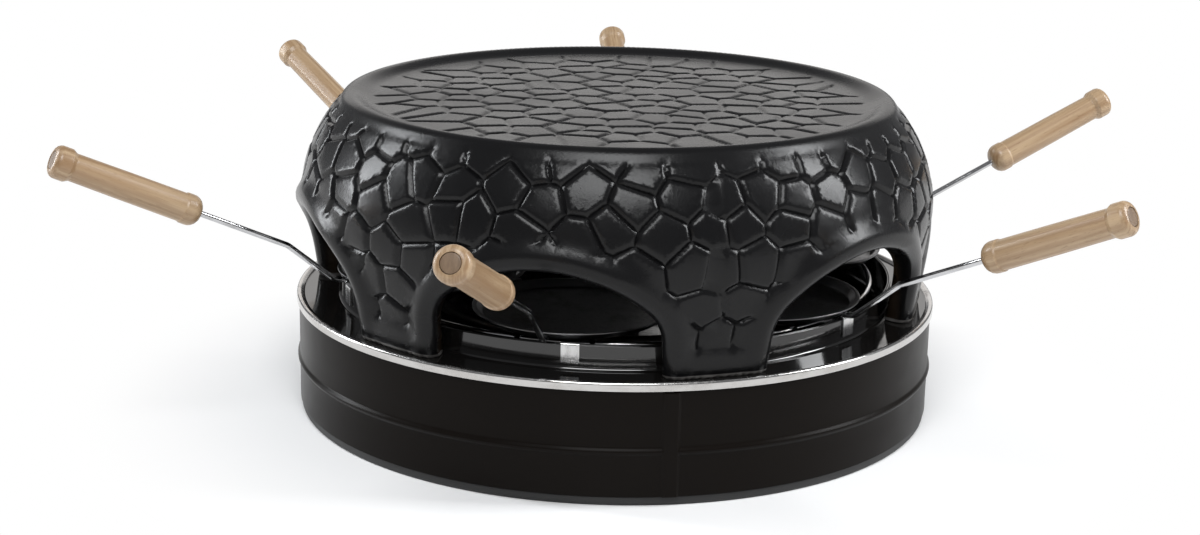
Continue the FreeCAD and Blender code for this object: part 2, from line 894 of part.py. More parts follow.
def centre_column():
    inner = size.column_radius - size.column_wall
    flange_level = dish_floor + size.column_flange_sheet
    bolt_hole = size.bolt_wire / 2 + size.hole_play
    body = turned("column_tube", [
        (inner, dish_floor), (size.column_flange, dish_floor), (size.column_flange, flange_level),
        (size.column_radius, flange_level), (size.column_radius, column_top), (bolt_hole, column_top),
        (bolt_hole, column_top - size.column_wall), (inner, column_top - size.column_wall)])
    hole_radius = size.screw_wire / 2 + size.hole_play
    hole = drill(body, "flange_hole", hole_radius, size.screw_circle, size.tie_azimuth)
    ring_pattern(body, hole, size.screw_count)
    notches = []
    slot = size.element_wire + 2 * size.hole_play
    for index, (distance, azimuth) in enumerate(upper_legs()):
        notches.append(box(f"column_notch_{index}", slot, size.column_radius, slot, turn_z(azimuth),
                           shift(0, -1 * size.column_radius, upper_level - slot / 2)))
    return cut("centre_column", body, fused("column_notches", notches))


def screws_and_nuts():
    """Screws that hold the column's flange to the dish, and their nuts under the dish."""
    flange_level = dish_floor + size.column_flange_sheet
    screws = []
    nuts = []
    for index, azimuth in enumerate(around(size.screw_count, size.tie_azimuth)):
        spot = (turn_z(azimuth), shift(0, -1 * size.screw_circle, 0))
        head = cylinder(f"screw_head_{index}", size.screw_head / 2, size.screw_head_height,
                        *spot, shift(0, 0, flange_level))
        shank = cylinder(f"screw_shank_{index}", size.screw_wire / 2, size.screw_length,
                         *spot, shift(0, 0, flange_level - size.screw_length))
        screws.append(fused(f"column_screw_{index}", [head, shank]))
        nuts.append(nut(f"column_nut_{index}", size.nut_flats, size.nut_height, size.screw_wire / 2,
                        *spot, shift(0, 0, dish_under - size.nut_height)))
    return [group("column_screws", screws), group("column_nuts", nuts)]


def reflector():
    sheet_size = size.reflector_sheet
    top = column_top + sheet_size
    hole = size.bolt_wire / 2 + size.hole_play
    edge = reflector_radius
    bend = size.reflector_bend
    inner_bend = bend - sheet_size
    lip = top - size.reflector_lip
    return turned("reflector", [
        (hole, column_top), (edge - bend, column_top, -inner_bend), (edge - sheet_size, top - bend),
        (edge - sheet_size, lip), (edge, lip), (edge, top - bend, bend), (edge - bend, top), (hole, top)])


def reflector_bolt():
    top = column_top + size.reflector_sheet
    under = column_top - size.column_wall
    reach = size.reflector_sheet + size.column_wall + size.bolt_nut_height
    head = hexagon("bolt_head", size.bolt_flats, size.bolt_head_height, shift(0, 0, top))
    shank = cylinder("bolt_shank", size.bolt_wire / 2, reach, shift(0, 0, top - reach))
    bolt_nut = nut("reflector_nut", size.bolt_flats, size.bolt_nut_height, size.bolt_wire / 2,
                   shift(0, 0, under - size.bolt_nut_height))
    return [fused("reflector_bolt", [head, shank]), bolt_nut]


def tie_rods_and_nuts():
    """Rods under the dish that draw the base together, with nuts under the bottom plate."""
    rods = []
    nuts = []
    nut_bottom = size.foot_height - size.tie_nut_height
    for index, azimuth in enumerate(around(size.tie_count, size.tie_azimuth)):
        spot = (turn_z(azimuth), shift(0, -1 * tie_circle, 0))
        rods.append(cylinder(f"tie_rod_{index}", size.tie_wire / 2, dish_under - nut_bottom + size.tie_end,
                             *spot, shift(0, 0, nut_bottom - size.tie_end)))
        nuts.append(nut(f"tie_nut_{index}", size.tie_nut_flats, size.tie_nut_height, size.tie_wire / 2,
                        *spot, shift(0, 0, nut_bottom)))
    return [group("tie_rods", rods), group("tie_nuts", nuts)]


def arch_corners(margin):
    """The outline of an arch with three centres, widened by a margin."""
    half = arch_half + margin
    side = size.arch_side_round + margin
    spring = dome_bottom + size.arch_spring
    low = dome_bottom - size.cutter_reach
    side_centre = arch_half - size.arch_side_round
    excess = size.arch_rise - size.arch_side_round
    drop = (side_centre * side_centre - excess * excess) / (2 * excess)
    crown = size.arch_rise + drop + margin
    between = size.arch_rise + drop - size.arch_side_round
    joint_x = crown * side_centre / between
    joint_z = spring - drop + crown * drop / between
    return [
        (-half, low), (half, low), (half, spring, side), (joint_x, joint_z, crown),
        (-joint_x, joint_z, side), (-half, spring)]


def arch_prisms(name, margin):
    """Prisms through the dome, each of which makes two opposite arches."""
    prisms = []
    for index in range(int(size.arch_count) // 2):
        prism = padded(f"{name}_{index}", "XZ_Plane", arch_corners(margin), 3 * dome_radius)
        prisms.append(place(prism, turn_z(arch_step * index)))
    return fused(name, prisms)


def cobble_seeds(width, low, high, spare, draw):
    """Spots in staggered rows, each moved a little aside."""
    count = round(width / float(size.cobble_size))
    step = width / count
    rise = step * ROW_RISE
    seeds = []
    for row in range(int((high - low) / rise) + 1):
        for column in range(count + spare):
            x = (column + 0.5 * (row % 2)) * step + draw.uniform(-1, 1) * COBBLE_JITTER * step
            y = low + row * rise + draw.uniform(-1, 1) * COBBLE_JITTER * rise
            seeds.append((x, y))
    return seeds


def clipped(corners, across, up, limit):
    """The part of a convex outline where across * x + up * y stays within the limit."""
    past = [across * x + up * y - limit for x, y in corners]
    kept = []
    for index, (x, y) in enumerate(corners):
        after = (index + 1) % len(corners)
        if past[index] <= 0:
            kept.append((x, y))
        if past[index] * past[after] < 0:
            share = past[index] / (past[index] - past[after])
            kept.append((x + (corners[after][0] - x) * share, y + (corners[after][1] - y) * share))
    return kept


def cobble_cell(seed, others, borders, step):
    """The outline nearer to a seed than to the others, as whole steps along both directions."""
    x, y = seed
    reach = 3 * float(size.cobble_size)
    corners = [(x - reach, y - reach), (x + reach, y - reach), (x + reach, y + reach), (x - reach, y + reach)]
    for other_x, other_y in others:
        across, up = other_x - x, other_y - y
        if 0 < across * across + up * up < reach * reach:
            limit = across * (x + other_x) / 2 + up * (y + other_y) / 2
            corners = clipped(corners, across, up, limit)
    for border in borders:
        corners = clipped(corners, *border)
    cell = [(round(x / step[0]), round(y / step[1])) for x, y in corners]
    return [key for key, before in zip(cell, cell[-1:] + cell[:-1]) if key != before]


def cobbled_faces(cells, spot, step, depth, around_steps=None):
    """A flat top for each cell, slopes down into the grooves around it, and the edges that end the field."""
    def key_of(column, row):
        return (column % around_steps if around_steps else column, row)

    def low(key):
        point, normal = spot(key[0] * step[0], key[1] * step[1])
        return point - normal * depth

    faces = []
    edges = Counter()
    for cell in cells:
        outline = [(column * step[0], row * step[1]) for column, row in cell]
        middle = [sum(values) / len(outline) for values in zip(*outline)]
        centre, normal = spot(*middle)
        tops = []
        for corner in outline:
            share = min(float(size.groove_half) / math.dist(corner, middle), GROOVE_SHARE)
            top = spot(*[c + (m - c) * share for c, m in zip(corner, middle)])[0]
            tops.append(top - normal * (top - centre).dot(normal))
        keys = [key_of(*key) for key in cell]
        lows = [low(key) for key in keys]
        faces.append(Part.Face(Part.makePolygon(tops + tops[:1])))
        for index, key in enumerate(keys):
            after = (index + 1) % len(keys)
            faces.append(Part.Face(Part.makePolygon([lows[index], lows[after], tops[after], lows[index]])))
            faces.append(Part.Face(Part.makePolygon([lows[index], tops[after], tops[index], lows[index]])))
            edges[tuple(sorted((key, keys[after])))] += 1
    return faces, [tuple(low(key) for key in edge) for edge, uses in edges.items() if uses == 1]


def closed_solid(name, faces):
    shell = Part.makeShell(faces)
    shell.sewShape()
    body = doc.addObject("Part::Feature", name)
    body.Shape = Part.makeSolid(shell.Shells[0])
    return body


def wires_of(edges):
    lines = [Part.makeLine(*edge) for edge in edges]
    return [Part.Wire(part) for part in Part.sortEdges(lines)]


def cobbled_wall(foot, slope_end, centre, shoulder, length):
    """The wall between plinth and ring: a straight slope from the foot, then the shoulder's round."""
    start = (float(foot), float(dome_bottom))
    slope = math.dist(start, slope_end)
    lean = (slope_end[0] - start[0]) / slope
    climb = (slope_end[1] - start[1]) / slope

    def spot(s, t):
        """Place and outward direction at a distance around and up the wall."""
        azimuth = s / start[0] + math.radians(COBBLE_AZIMUTH)
        if t < slope:
            radius, height, out, up = start[0] + lean * t, start[1] + climb * t, climb, -lean
        else:
            angle = (t - slope) / shoulder
            out, up = math.cos(angle), math.sin(angle)
            radius, height = centre + shoulder * out, slope_end[1] + shoulder * up
        side, ahead = math.sin(azimuth), -math.cos(azimuth)
        return Vector(radius * side, radius * ahead, height), Vector(out * side, out * ahead, up).normalize()

    width = 2 * math.pi * start[0]
    around_steps = round(width / float(size.cobble_step))
    step = (width / around_steps, float(size.cobble_step))
    low = step[1] * round(float(size.cobble_low) / step[1])
    high = step[1] * round((length + float(size.cobble_high)) / step[1])
    seeds = cobble_seeds(width, -float(size.cobble_below), length + float(size.cobble_above), 0,
                         random.Random(WALL_DRAW))
    others = [(x + turn * width, y) for turn in (-1, 0, 1) for x, y in seeds]
    borders = [(0, -1, -low), (0, 1, high)]
    cells = [cobble_cell(seed, others, borders, step) for seed in seeds]
    faces, edges = cobbled_faces([cell for cell in cells if len(cell) > 2], spot, step,
                                 float(size.groove_depth), around_steps)
    return closed_solid("cobbled_wall", faces + [Part.Face(wire) for wire in wires_of(edges)])


def cobbled_roof(radius):
    """The plate inside the ring, whose outer cobbles reach its border."""
    reach = float(radius + size.cobble_size)
    rows = cobble_seeds(2 * reach, -reach, reach, 1, random.Random(ROOF_DRAW))
    inside = float(radius - size.groove_half) - ROOF_EDGE * float(size.cobble_size)
    seeds = [(x - reach, y) for x, y in rows if math.hypot(x - reach, y) < inside]
    level = float(roof_top + size.roof_lift)
    step = (float(size.cobble_step), float(size.cobble_step))
    borders = [(math.cos(angle), math.sin(angle), float(radius))
               for angle in [2 * math.pi * index / ROOF_SIDES for index in range(ROOF_SIDES)]]

    def spot(x, y):
        return Vector(x, y, level), Vector(0, 0, 1)

    cells = [cobble_cell(seed, seeds, borders, step) for seed in seeds]
    faces, edges = cobbled_faces(cells, spot, step, float(size.roof_groove + size.roof_lift))
    down = Vector(0, 0, -float(size.roof_root))
    for first, last in edges:
        faces.append(Part.Face(Part.makePolygon([first, last, last + down, first + down, first])))
    bottom = wires_of([(first + down, last + down) for first, last in edges])
    return closed_solid("cobbled_roof", faces + [Part.Face(wire) for wire in bottom])


def dome():
    """One casting in two nodes: the pillars between the arches, and the roof that joins them."""
    shoulder = size.shoulder_round
    centre = dome_radius - shoulder
    rise = root(shoulder * shoulder - (ring_foot - centre) * (ring_foot - centre))
    foot_level = crest_top - size.ring_height
    wall_top = foot_level - rise
    plinth_top = dome_bottom + size.plinth_height
    lower = dome_radius - size.dome_lean
    edge_drop = size.ring_round - root(size.ring_round * size.ring_round - size.ring_half * size.ring_half)
    lower_level = plinth_top + plinth_radius - lower
    sink = size.cobble_low
    plinth = turned("dome_plinth", [
        (0, dome_bottom), (plinth_radius, dome_bottom), (plinth_radius, plinth_top),
        (lower - sink, lower_level + sink), (0, lower_level + sink)])
    flank = ring_crest + size.ring_half
    flank_top = crest_top - edge_drop
    roof_edge = ring_crest - size.ring_half - size.ring_inset
    roof_field = roof_edge - size.roof_rim
    field_floor = roof_top - 2 * size.roof_groove
    ring = turned("dome_ring", [
        (0, wall_top), (ring_crest, wall_top), (2 * ring_foot - flank, 2 * foot_level - flank_top),
        (flank, flank_top, size.ring_round), (ring_crest - size.ring_half, flank_top),
        (roof_edge, roof_top), (roof_field, roof_top), (roof_field, field_floor), (0, field_floor)])
    slope_end = (float(dome_radius), float(wall_top))
    foot = lower - (lower_level - dome_bottom) * (dome_radius - lower) / (wall_top - lower_level)
    slope_length = math.dist((foot, dome_bottom), slope_end)
    round_length = shoulder * math.acos((ring_foot - centre) / shoulder)
    wall = cobbled_wall(foot, slope_end, float(centre), float(shoulder), float(slope_length + round_length))
    roof = cobbled_roof(roof_field + size.roof_lap)
    band_round = shoulder + size.band_rise
    band_form = turned("band_form", [
        (0, dome_bottom), (plinth_radius, dome_bottom),
        (dome_radius + size.band_rise, wall_top, band_round), (centre, wall_top + band_round),
        (0, wall_top + band_round)])
    bands = doc.addObject("Part::Common", "arch_bands")
    bands.Base = band_form
    bands.Tool = arch_prisms("band_prism", size.band_width)
    inner_round = shoulder - size.dome_wall
    inner_rise = roof_under - wall_top
    inner_edge = centre + root(inner_round * inner_round - inner_rise * inner_rise)
    below = dome_bottom - size.dome_gap
    cavity = turned("dome_cavity", [
        (0, below), (foot_inner, below), (foot_inner, dome_bottom),
        (dome_radius - size.dome_wall, wall_top, inner_round),
        (inner_edge, roof_under), (0, roof_under)])
    shell = cut("dome_shell", fused("dome_outside", [wall, roof, plinth, ring, bands]), cavity)
    casting = cut("dome_casting", shell, arch_prisms("arch_prism", 0.0))
    split_height = size.arch_spring + size.arch_rise - size.pillar_drop
    below_split = cylinder("below_split", dome_radius + size.cutter_reach, split_height + size.dome_gap,
                           shift(0, 0, below))
    pillars = doc.addObject("Part::Common", "dome_pillars")
    pillars.Base = casting
    pillars.Tool = below_split
    return [cut("dome_roof", casting, below_split), pillars]


def spatula_place(number, aside):
    azimuth = arch_step * number
    return [turn_z(azimuth), shift(0, -pan_circle, 0), turn_z(aside)]


def pan(name):
    top = pan_bottom + size.pan_depth
    lip = top - size.pan_sheet
    wall = pan_radius - size.pan_lip
    floor = pan_radius - size.pan_flare
    floor_top = pan_bottom + size.pan_sheet
    return turned(name, [
        (0, pan_bottom), (floor, pan_bottom), (wall, lip), (pan_radius, lip),
        (pan_radius, top), (wall - size.pan_sheet / 2, top),
        (floor - size.pan_sheet / 2, floor_top), (0, floor_top)])


def rod_corners():
    """The rod's corners as (distance from the pan's middle, height), up to the grip's near end."""
    level = pan_bottom + size.rod_level
    bend_distance = dome_radius + size.band_rise + size.rod_reach - pan_circle
    bend_level = level + size.rod_lift
    return [
        (pan_radius - size.rod_sink, level), (pan_radius + size.rod_heel, level),
        (bend_distance, bend_level),
        (bend_distance + size.rod_run * cosine(size.rod_slope),
         bend_level + size.rod_run * sine(size.rod_slope))]


def bent_path(body, corners, bend, name):
    """An open path in the YZ plane: runs through the corners, with tangent arcs between them."""
    sketch = new_sketch(body, "YZ_Plane", name)
    spots = [Vector(float(x), float(y), 0) for x, y in corners]
    pieces = []
    start = spots[0]
    for before, here, after in zip(spots, spots[1:], spots[2:]):
        back = (before - here).normalize()
        onward = (after - here).normalize()
        half_angle = back.getAngle(onward) / 2
        reach = float(bend) / math.tan(half_angle)
        middle = (back + onward).normalize()
        centre = here + middle * (float(bend) / math.sin(half_angle))
        arc_start = here + back * reach
        arc_end = here + onward * reach
        pieces.append(Part.LineSegment(start, arc_start))
        pieces.append(Part.Arc(arc_start, centre - middle * float(bend), arc_end))
        start = arc_end
    pieces.append(Part.LineSegment(start, spots[-1]))
    for piece in pieces:
        sketch.addGeometry(piece)
    rules = point_rules(0, 1, *corners[0]) + point_rules(len(pieces) - 1, 2, *corners[-1])
    for index in range(1, len(pieces), 2):
        start_end = 1 if sketch.getPoint(index, 1).isEqual(sketch.getPoint(index - 1, 2), 1e-6) else 2
        rules.append(("Tangent", index - 1, 2, index, start_end))
        rules.append(("Tangent", index, 3 - start_end, index + 1, 1))
        rules.append(("Radius", index, bend))
    for index, corner in enumerate(corners[1:-1], start=1):
        mark = sketch.addGeometry(Part.Point(spots[index]), True)
        rules.extend(point_rules(mark, 1, *corner))
        rules.append(("PointOnObject", mark, 1, 2 * index - 2))
        rules.append(("PointOnObject", mark, 1, 2 * index))
    constrain(sketch, rules)
    return sketch


def rod(name):
    corners = rod_corners()
    inside = size.grip_bore_depth - size.grip_end
    grip_x, grip_z = corners[-1]
    end = (grip_x + inside * cosine(size.rod_slope), grip_z + inside * sine(size.rod_slope))
    body = new_body(name)
    outward = [(-x, z) for x, z in corners[:-1] + [end]]
    path = bent_path(body, outward, size.rod_bend, name + "_path")
    section = new_sketch(body, "XZ_Plane", name + "_section")
    start_distance, level = corners[0]
    section.AttachmentOffset = FreeCAD.Placement(Vector(0, 0, float(start_distance)), FreeCAD.Rotation())
    section.setExpression("AttachmentOffset.Base.z", start_distance.text)
    section.addGeometry(Part.Circle(Vector(0, float(level), 0), Vector(0, 0, 1), float(size.rod_wire) / 2))
    constrain(section, point_rules(0, 3, 0, level) + [("Radius", 0, size.rod_wire / 2)])
    pipe = body.newObject("PartDesign::AdditivePipe", name + "_sweep")
    pipe.Profile = section
    pipe.Spine = path
    return body


def grip(name):
    """A turned grip, bored from its near end, with a knob at its far end."""
    length = size.grip_length
    bore = size.rod_wire / 2 + size.grip_bore_play
    heel_start = size.grip_heel_length / 2
    heel_end = size.grip_heel_length
    knob_start = length - size.grip_knob_length
    knob_end = length - size.grip_knob_length / 2
    neck_start = knob_start - size.grip_neck_length
    end = size.grip_end
    return turned(name, [
        (0, size.grip_bore_depth), (bore, size.grip_bore_depth), (bore, 0),
        (end, 0, size.grip_heel_length * END_ROUNDING),
        (size.grip_heel, heel_start), (size.grip_heel, heel_end),
        (size.grip_barrel, heel_end + size.grip_neck_length),
        (size.grip_barrel, neck_start), (size.grip_neck, knob_start), (size.grip_knob, knob_start),
        (size.grip_knob, knob_end, size.grip_knob_length * END_ROUNDING), (end, length), (0, length)])


def spatulas():
    nodes = []
    grip_x, grip_z = rod_corners()[-1]
    for side, (number, aside) in SPATULAS.items():
        steps = spatula_place(number, aside)
        nodes.append(place(pan("pan_" + side), *steps))
        nodes.append(place(rod("rod_" + side), *steps))
        onto_rod = [shift(0, -grip_x, grip_z), turn_x(90 - size.rod_slope)]
        nodes.append(place(grip("grip_" + side), *steps, *onto_rod))
    return nodes


def switch_housing():
    """A bezel against the drum and a case behind it, with a pocket and two bearings for the rocker."""
    middle = -size.drum_radius
    low = switch_height - size.switch_tall / 2
    inset = size.switch_wall
    spin = turn_z(size.switch_azimuth)
    pocket_width = size.rocker_width + 2 * size.rocker_play
    pocket_tall = size.rocker_tall + 2 * size.rocker_play
    bezel = box("switch_bezel", size.switch_width, size.switch_bezel, size.switch_tall, spin,
                shift(0, middle - size.switch_bezel / 2, low))
    case = box("switch_case", size.switch_width - 2 * inset, size.switch_depth,
               size.switch_tall - 2 * inset, spin, shift(0, middle + size.switch_depth / 2, low + inset))
    pocket_length = size.pocket_depth + size.switch_bezel
    pocket_middle = middle - size.switch_bezel + pocket_length / 2
    pocket = box("switch_pocket", pocket_width, pocket_length, pocket_tall, spin,
                 shift(0, pocket_middle, switch_height - pocket_tall / 2))
    bearing_length = pocket_tall + 2 * size.switch_wall
    bearing = cylinder("rocker_bearing", size.rocker_pin / 2 + size.rocker_pin_play, bearing_length, spin,
                       shift(0, middle + size.rocker_pivot, switch_height - bearing_length / 2))
    body = fused("switch_body", [bezel, case])
    return cut("switch_housing", body, fused("rocker_space", [pocket, bearing]))


def switch_rocker():
    """A rocker with a waist in its face, resting with one side pressed in."""
    half = size.rocker_width / 2
    face = padded("rocker_block", "XY_Plane", [
        (-half, -size.rocker_crest), (0, -size.rocker_waist), (half, -size.rocker_crest),
        (half, 0), (0, size.rocker_root), (-half, 0)], size.rocker_tall)
    pin_length = size.rocker_tall + 2 * size.switch_wall
    pin = cylinder("rocker_pivot_pin", size.rocker_pin / 2, pin_length, shift(0, 0, -1 * pin_length / 2))
    rocker = fused("switch_rocker", [face, pin])
    return place(rocker, turn_z(size.switch_azimuth),
                 shift(0, size.rocker_pivot - size.drum_radius, switch_height), turn_z(size.rocker_tilt))


def indicator_lens():
    lens = turned("indicator_lens", [
        (0, -size.lamp_depth), (size.lamp_barrel, -size.lamp_depth), (size.lamp_barrel, 0),
        (size.lamp_radius, 0), (size.lamp_radius, size.lamp_head / 2, size.lamp_head / 2),
        (size.lamp_radius - size.lamp_head / 2, size.lamp_head), (0, size.lamp_head)])
    seat = shift(0, -size.drum_radius, switch_height)
    return place(lens, turn_z(size.lamp_azimuth), seat, turn_x(90))


def cord_gland():
    gland = turned("cord_gland", [
        (size.gland_bore, -size.gland_depth), (size.gland_neck, -size.gland_depth), (size.gland_neck, 0),
        (size.gland_radius, 0), (size.gland_radius, size.gland_head / 2),
        (size.gland_neck, size.gland_head), (size.gland_bore, size.gland_head)])
    seat = shift(0, -size.drum_radius, size.gland_height)
    return place(gland, turn_z(size.gland_azimuth), seat, turn_x(90))


def gland_nut():
    """The nut inside the drum, whose flat face meets the curved wall at its corners."""
    corner = size.gland_nut_flats / cosine(30) / 2
    face = root(drum_inner * drum_inner - corner * corner) - size.slip
    seat = shift(0, -1 * face, size.gland_height)
    return nut("gland_nut", size.gland_nut_flats, size.gland_nut_height, size.gland_neck,
               turn_z(size.gland_azimuth), seat, turn_x(90), shift(0, 0, -size.gland_nut_height))


def terminal_block():
    spin = turn_z(180)
    middle = -1 * block_distance
    body = box("block_body", size.block_length, size.block_width, size.block_tall, spin,
               shift(0, middle, plate_top))
    bore_level = plate_top + size.block_tall / 2 - size.block_bore / 2
    top = plate_top + size.block_tall
    holes = []
    screws = []
    for index, way in enumerate(BLOCK_WAYS):
        x = way * size.block_pitch
        holes.append(cylinder(f"block_bore_{index}", size.block_bore / 2, 2 * size.block_width, spin,
                              shift(x, middle + size.block_width, bore_level), turn_x(90)))
        seat = shift(x, middle, top - size.block_screw_depth)
        holes.append(cylinder(f"block_well_{index}", size.block_screw / 2 + size.slip,
                              size.block_screw_depth, spin, seat))
        screws.append(cylinder(f"terminal_screw_{index}", size.block_screw / 2,
                               size.block_screw_depth - size.slip, spin, seat))
    return [cut("terminal_block", body, fused("block_holes", holes)), group("terminal_screws", screws)]


def thermal_cutout():
    """A disc cut-out held by its ear against the underside of the dish."""
    spin = turn_z(size.cutout_azimuth)
    middle = -1 * size.cutout_distance
    disc = cylinder("cutout_disc", size.cutout_radius, size.cutout_depth, spin,
                    shift(0, middle, dish_under - size.cutout_depth))
    ear = box("cutout_ear", 2 * size.cutout_ear, size.cutout_radius, size.cutout_sheet, spin,
              shift(0, middle, dish_under - size.cutout_sheet))
    return fused("thermal_cutout", [disc, ear])


def lead_edges(points):
    """Straight runs through the points, with a wide arc at each corner."""
    edges = []
    start = points[0]
    for before, here, after in zip(points, points[1:], points[2:]):
        back = before - here
        onward = after - here
        reach = LEAD_ROUNDING * min(back.Length, onward.Length)
        back.normalize()
        onward.normalize()
        half_angle = back.getAngle(onward) / 2
        middle = (back + onward).normalize()
        centre = here + middle * (reach / math.cos(half_angle))
        bend_start = here + back * reach
        bend_end = here + onward * reach
        edges.append(line(start, bend_start))
        edges.append(arc(bend_start, centre - middle * (reach * math.tan(half_angle)), bend_end))
        start = bend_end
    edges.append(line(start, points[-1]))
    return edges


def pin_end(distance, azimuth):
    """Just under the connection pin of a leg."""
    under = leg_bottom - size.pin_length - size.lead_gap
    return direction(azimuth) * float(distance) + Vector(0, 0, under)


def block_end(way):
    """Just inside of the terminal block, in line with one of its ways."""
    face = block_distance - size.block_width / 2 - size.lead_gap
    return Vector(way * size.block_pitch, face, plate_top + size.block_tall / 2 - size.block_bore / 2)


def switch_end(side, behind):
    """A point behind the switch's case, on one side of its middle."""
    distance = size.drum_radius - size.switch_depth - behind
    across = direction(size.switch_azimuth + 90) * float(side * size.switch_width / 4)
    return direction(size.switch_azimuth) * float(distance) + across + Vector(0, 0, switch_height)


def cutout_end(side):
    """Just under the thermal cut-out, on one side of its middle."""
    middle = direction(size.cutout_azimuth) * float(size.cutout_distance)
    under = dish_under - size.cutout_depth - size.lead_gap
    return middle + Vector(side * size.cutout_radius / 2, 0, under)


def internal_leads():
    """The wires between the terminal block, the switch, the cut-out and the two elements."""
    gap = size.lead_gap
    right, left = [pin_end(*leg) for leg in lower_legs()]
    upper_right, upper_left = [pin_end(*leg) for leg in upper_legs()]
    routes = [
        [block_end(1), Vector(20, 100, 14), Vector(52, 110, 24), Vector(60, 148, 46),
         switch_end(-1, 12), switch_end(-1, gap)],
        [switch_end(1, gap), switch_end(1, 11), Vector(48, 135, 42), Vector(58, 90, 38),
         Vector(61, 45, 40), cutout_end(1) - Vector(0, 0, 12), cutout_end(1)],
        [cutout_end(-1), cutout_end(-1) - Vector(0, 0, 13), Vector(40, 50, 28),
         Vector(34, 90, 20), right - Vector(0, 0, 8), right],
        [left, left - Vector(0, 0, 10), Vector(-30, 80, 17), Vector(-12, 40, 16),
         upper_left - Vector(0, 0, 12), upper_left],
        [upper_right, upper_right - Vector(0, 0, 11), Vector(6, 40, 14), Vector(-10, 85, 13),
         block_end(-1) - Vector(0, 14, 0), block_end(-1)],
    ]
    wires = []
    for index, points in enumerate(routes):
        wires.append(swept_tube(f"lead_{index}", lead_edges(points), size.lead_wire / 2))
    return group("internal_leads", wires)


def build():
    nodes = [foot_ring(), bottom_plate(), drum_wall(), tray(), heater_dish(), rack_clips()] + pan_rack()
    nodes += [lower_element(), lower_saddles(), upper_element(), upper_hangers(), element_pins()]
    nodes += [centre_column(), reflector()]
    nodes += screws_and_nuts() + reflector_bolt() + tie_rods_and_nuts()
    nodes += terminal_block() + [thermal_cutout(), internal_leads()]
    nodes += [switch_housing(), switch_rocker(), indicator_lens(), cord_gland(), gland_nut()]
    nodes += dome() + spatulas()
    return nodes


def write(nodes):
    """Checks the whole document, then writes each piece to its own file."""
    doc.recompute()
    for thing in doc.Objects:
        if "Invalid" in thing.State or "Error" in thing.State:
            raise RuntimeError(f"{thing.Name}: {thing.State}")
    for node in nodes:
        if node.Shape.isNull() or not node.Shape.isValid() or not node.Shape.Solids:
            raise RuntimeError(f"{node.Label} has no valid solid")
    os.makedirs("parts", exist_ok=True)
    for node in nodes:
        node.Shape.exportStep(f"parts/{node.Label}.step")
        print(f"{node.Label}: {len(node.Shape.Solids)} solids, {node.Shape.Volume / 1000:.2f} cm3")


write(build())
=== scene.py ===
import json
import math
import random

import bmesh
import bpy
import numpy as np
from mathutils import Matrix, Vector
from mathutils.geometry import delaunay_2d_cdt


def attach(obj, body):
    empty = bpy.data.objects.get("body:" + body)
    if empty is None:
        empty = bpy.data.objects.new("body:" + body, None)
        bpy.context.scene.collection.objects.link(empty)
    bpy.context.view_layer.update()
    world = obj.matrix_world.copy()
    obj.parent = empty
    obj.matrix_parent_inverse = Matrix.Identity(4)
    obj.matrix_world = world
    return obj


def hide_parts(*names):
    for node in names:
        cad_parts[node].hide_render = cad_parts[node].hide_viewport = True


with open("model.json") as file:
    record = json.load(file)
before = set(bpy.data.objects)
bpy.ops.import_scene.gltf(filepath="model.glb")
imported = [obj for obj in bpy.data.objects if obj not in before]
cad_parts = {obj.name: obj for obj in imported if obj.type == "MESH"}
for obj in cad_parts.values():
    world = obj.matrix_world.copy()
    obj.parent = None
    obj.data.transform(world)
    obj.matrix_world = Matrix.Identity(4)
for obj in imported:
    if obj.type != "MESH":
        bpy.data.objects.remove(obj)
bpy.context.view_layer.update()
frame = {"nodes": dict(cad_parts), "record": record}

MM = 0.001

# Arches, counted from the front towards +X, with the turn of each spatula in degrees
SPATULAS = {
    "front": (0, -1.5),
    "right_front": (60, 5.4),
    "right_back": (120, 2.5),
    "back": (180, 20.0),
    "left_back": (240, -5.3),
    "left": (300, 7.9),
}
ARCH_AZIMUTHS = [azimuth for azimuth, turn in SPATULAS.values()]

# Dome sizes in millimetres
DOME_FOOT = 70.8
WALL_FOOT_RADIUS = 185.1
WALL_TOP_RADIUS = 196.0
WALL_TOP = 129.96
SHOULDER_RADIUS = 90.0
SHOULDER_CENTRE = 106.0
RING_FOOT = (172.5, 190.6)
RING_CREST_RADIUS = 165.0
RING_HALF = 5.5
RING_ROUND = 8.0
RING_TOP = 197.0
PLATE_EDGE = 154.5
PLATE_LEVEL = 192.7
PLATE_JOIN = 152.6
PLATE_COBBLES = 152.0
PLATE_SEEDS = 145.3
PROFILE_STEP = 0.25
PROFILE_SMOOTHING = 2.2
PLINTH_RADIUS = 191.0
BAND_TOP_RADIUS = 200.5
INNER_FOOT_RADIUS = 175.0
INNER_WALL_RADIUS = 184.0
INNER_SHOULDER = 78.0
ROOF_UNDER = 182.7

# Where the tray's bare rim begins, and how soon it is all bare
RIM_START = 195.6
RIM_BLEND = 0.4

# Arch with three centres
ARCH_HALF = 65.0
ARCH_SPRING = 92.0
ARCH_SIDE = 25.0
ARCH_SIDE_CENTRE = ARCH_HALF - ARCH_SIDE
ARCH_DROP = 45.8333
ARCH_CROWN = 40.0 + ARCH_DROP
BAND_ROLL_WIDTH = 8.0
BAND_ROLL_DEPTH = 5.5
BAND_FALL = 13.0
LEG_STEPS = 7
SIDE_STEPS = 8
CROWN_STEPS = 36
PLINTH_FADE = (90.0, 84.5)
STAND_BLEND = 1.6
FOOT_ROUND_LENGTH = 2.6
FOOT_ROUND = 2.2

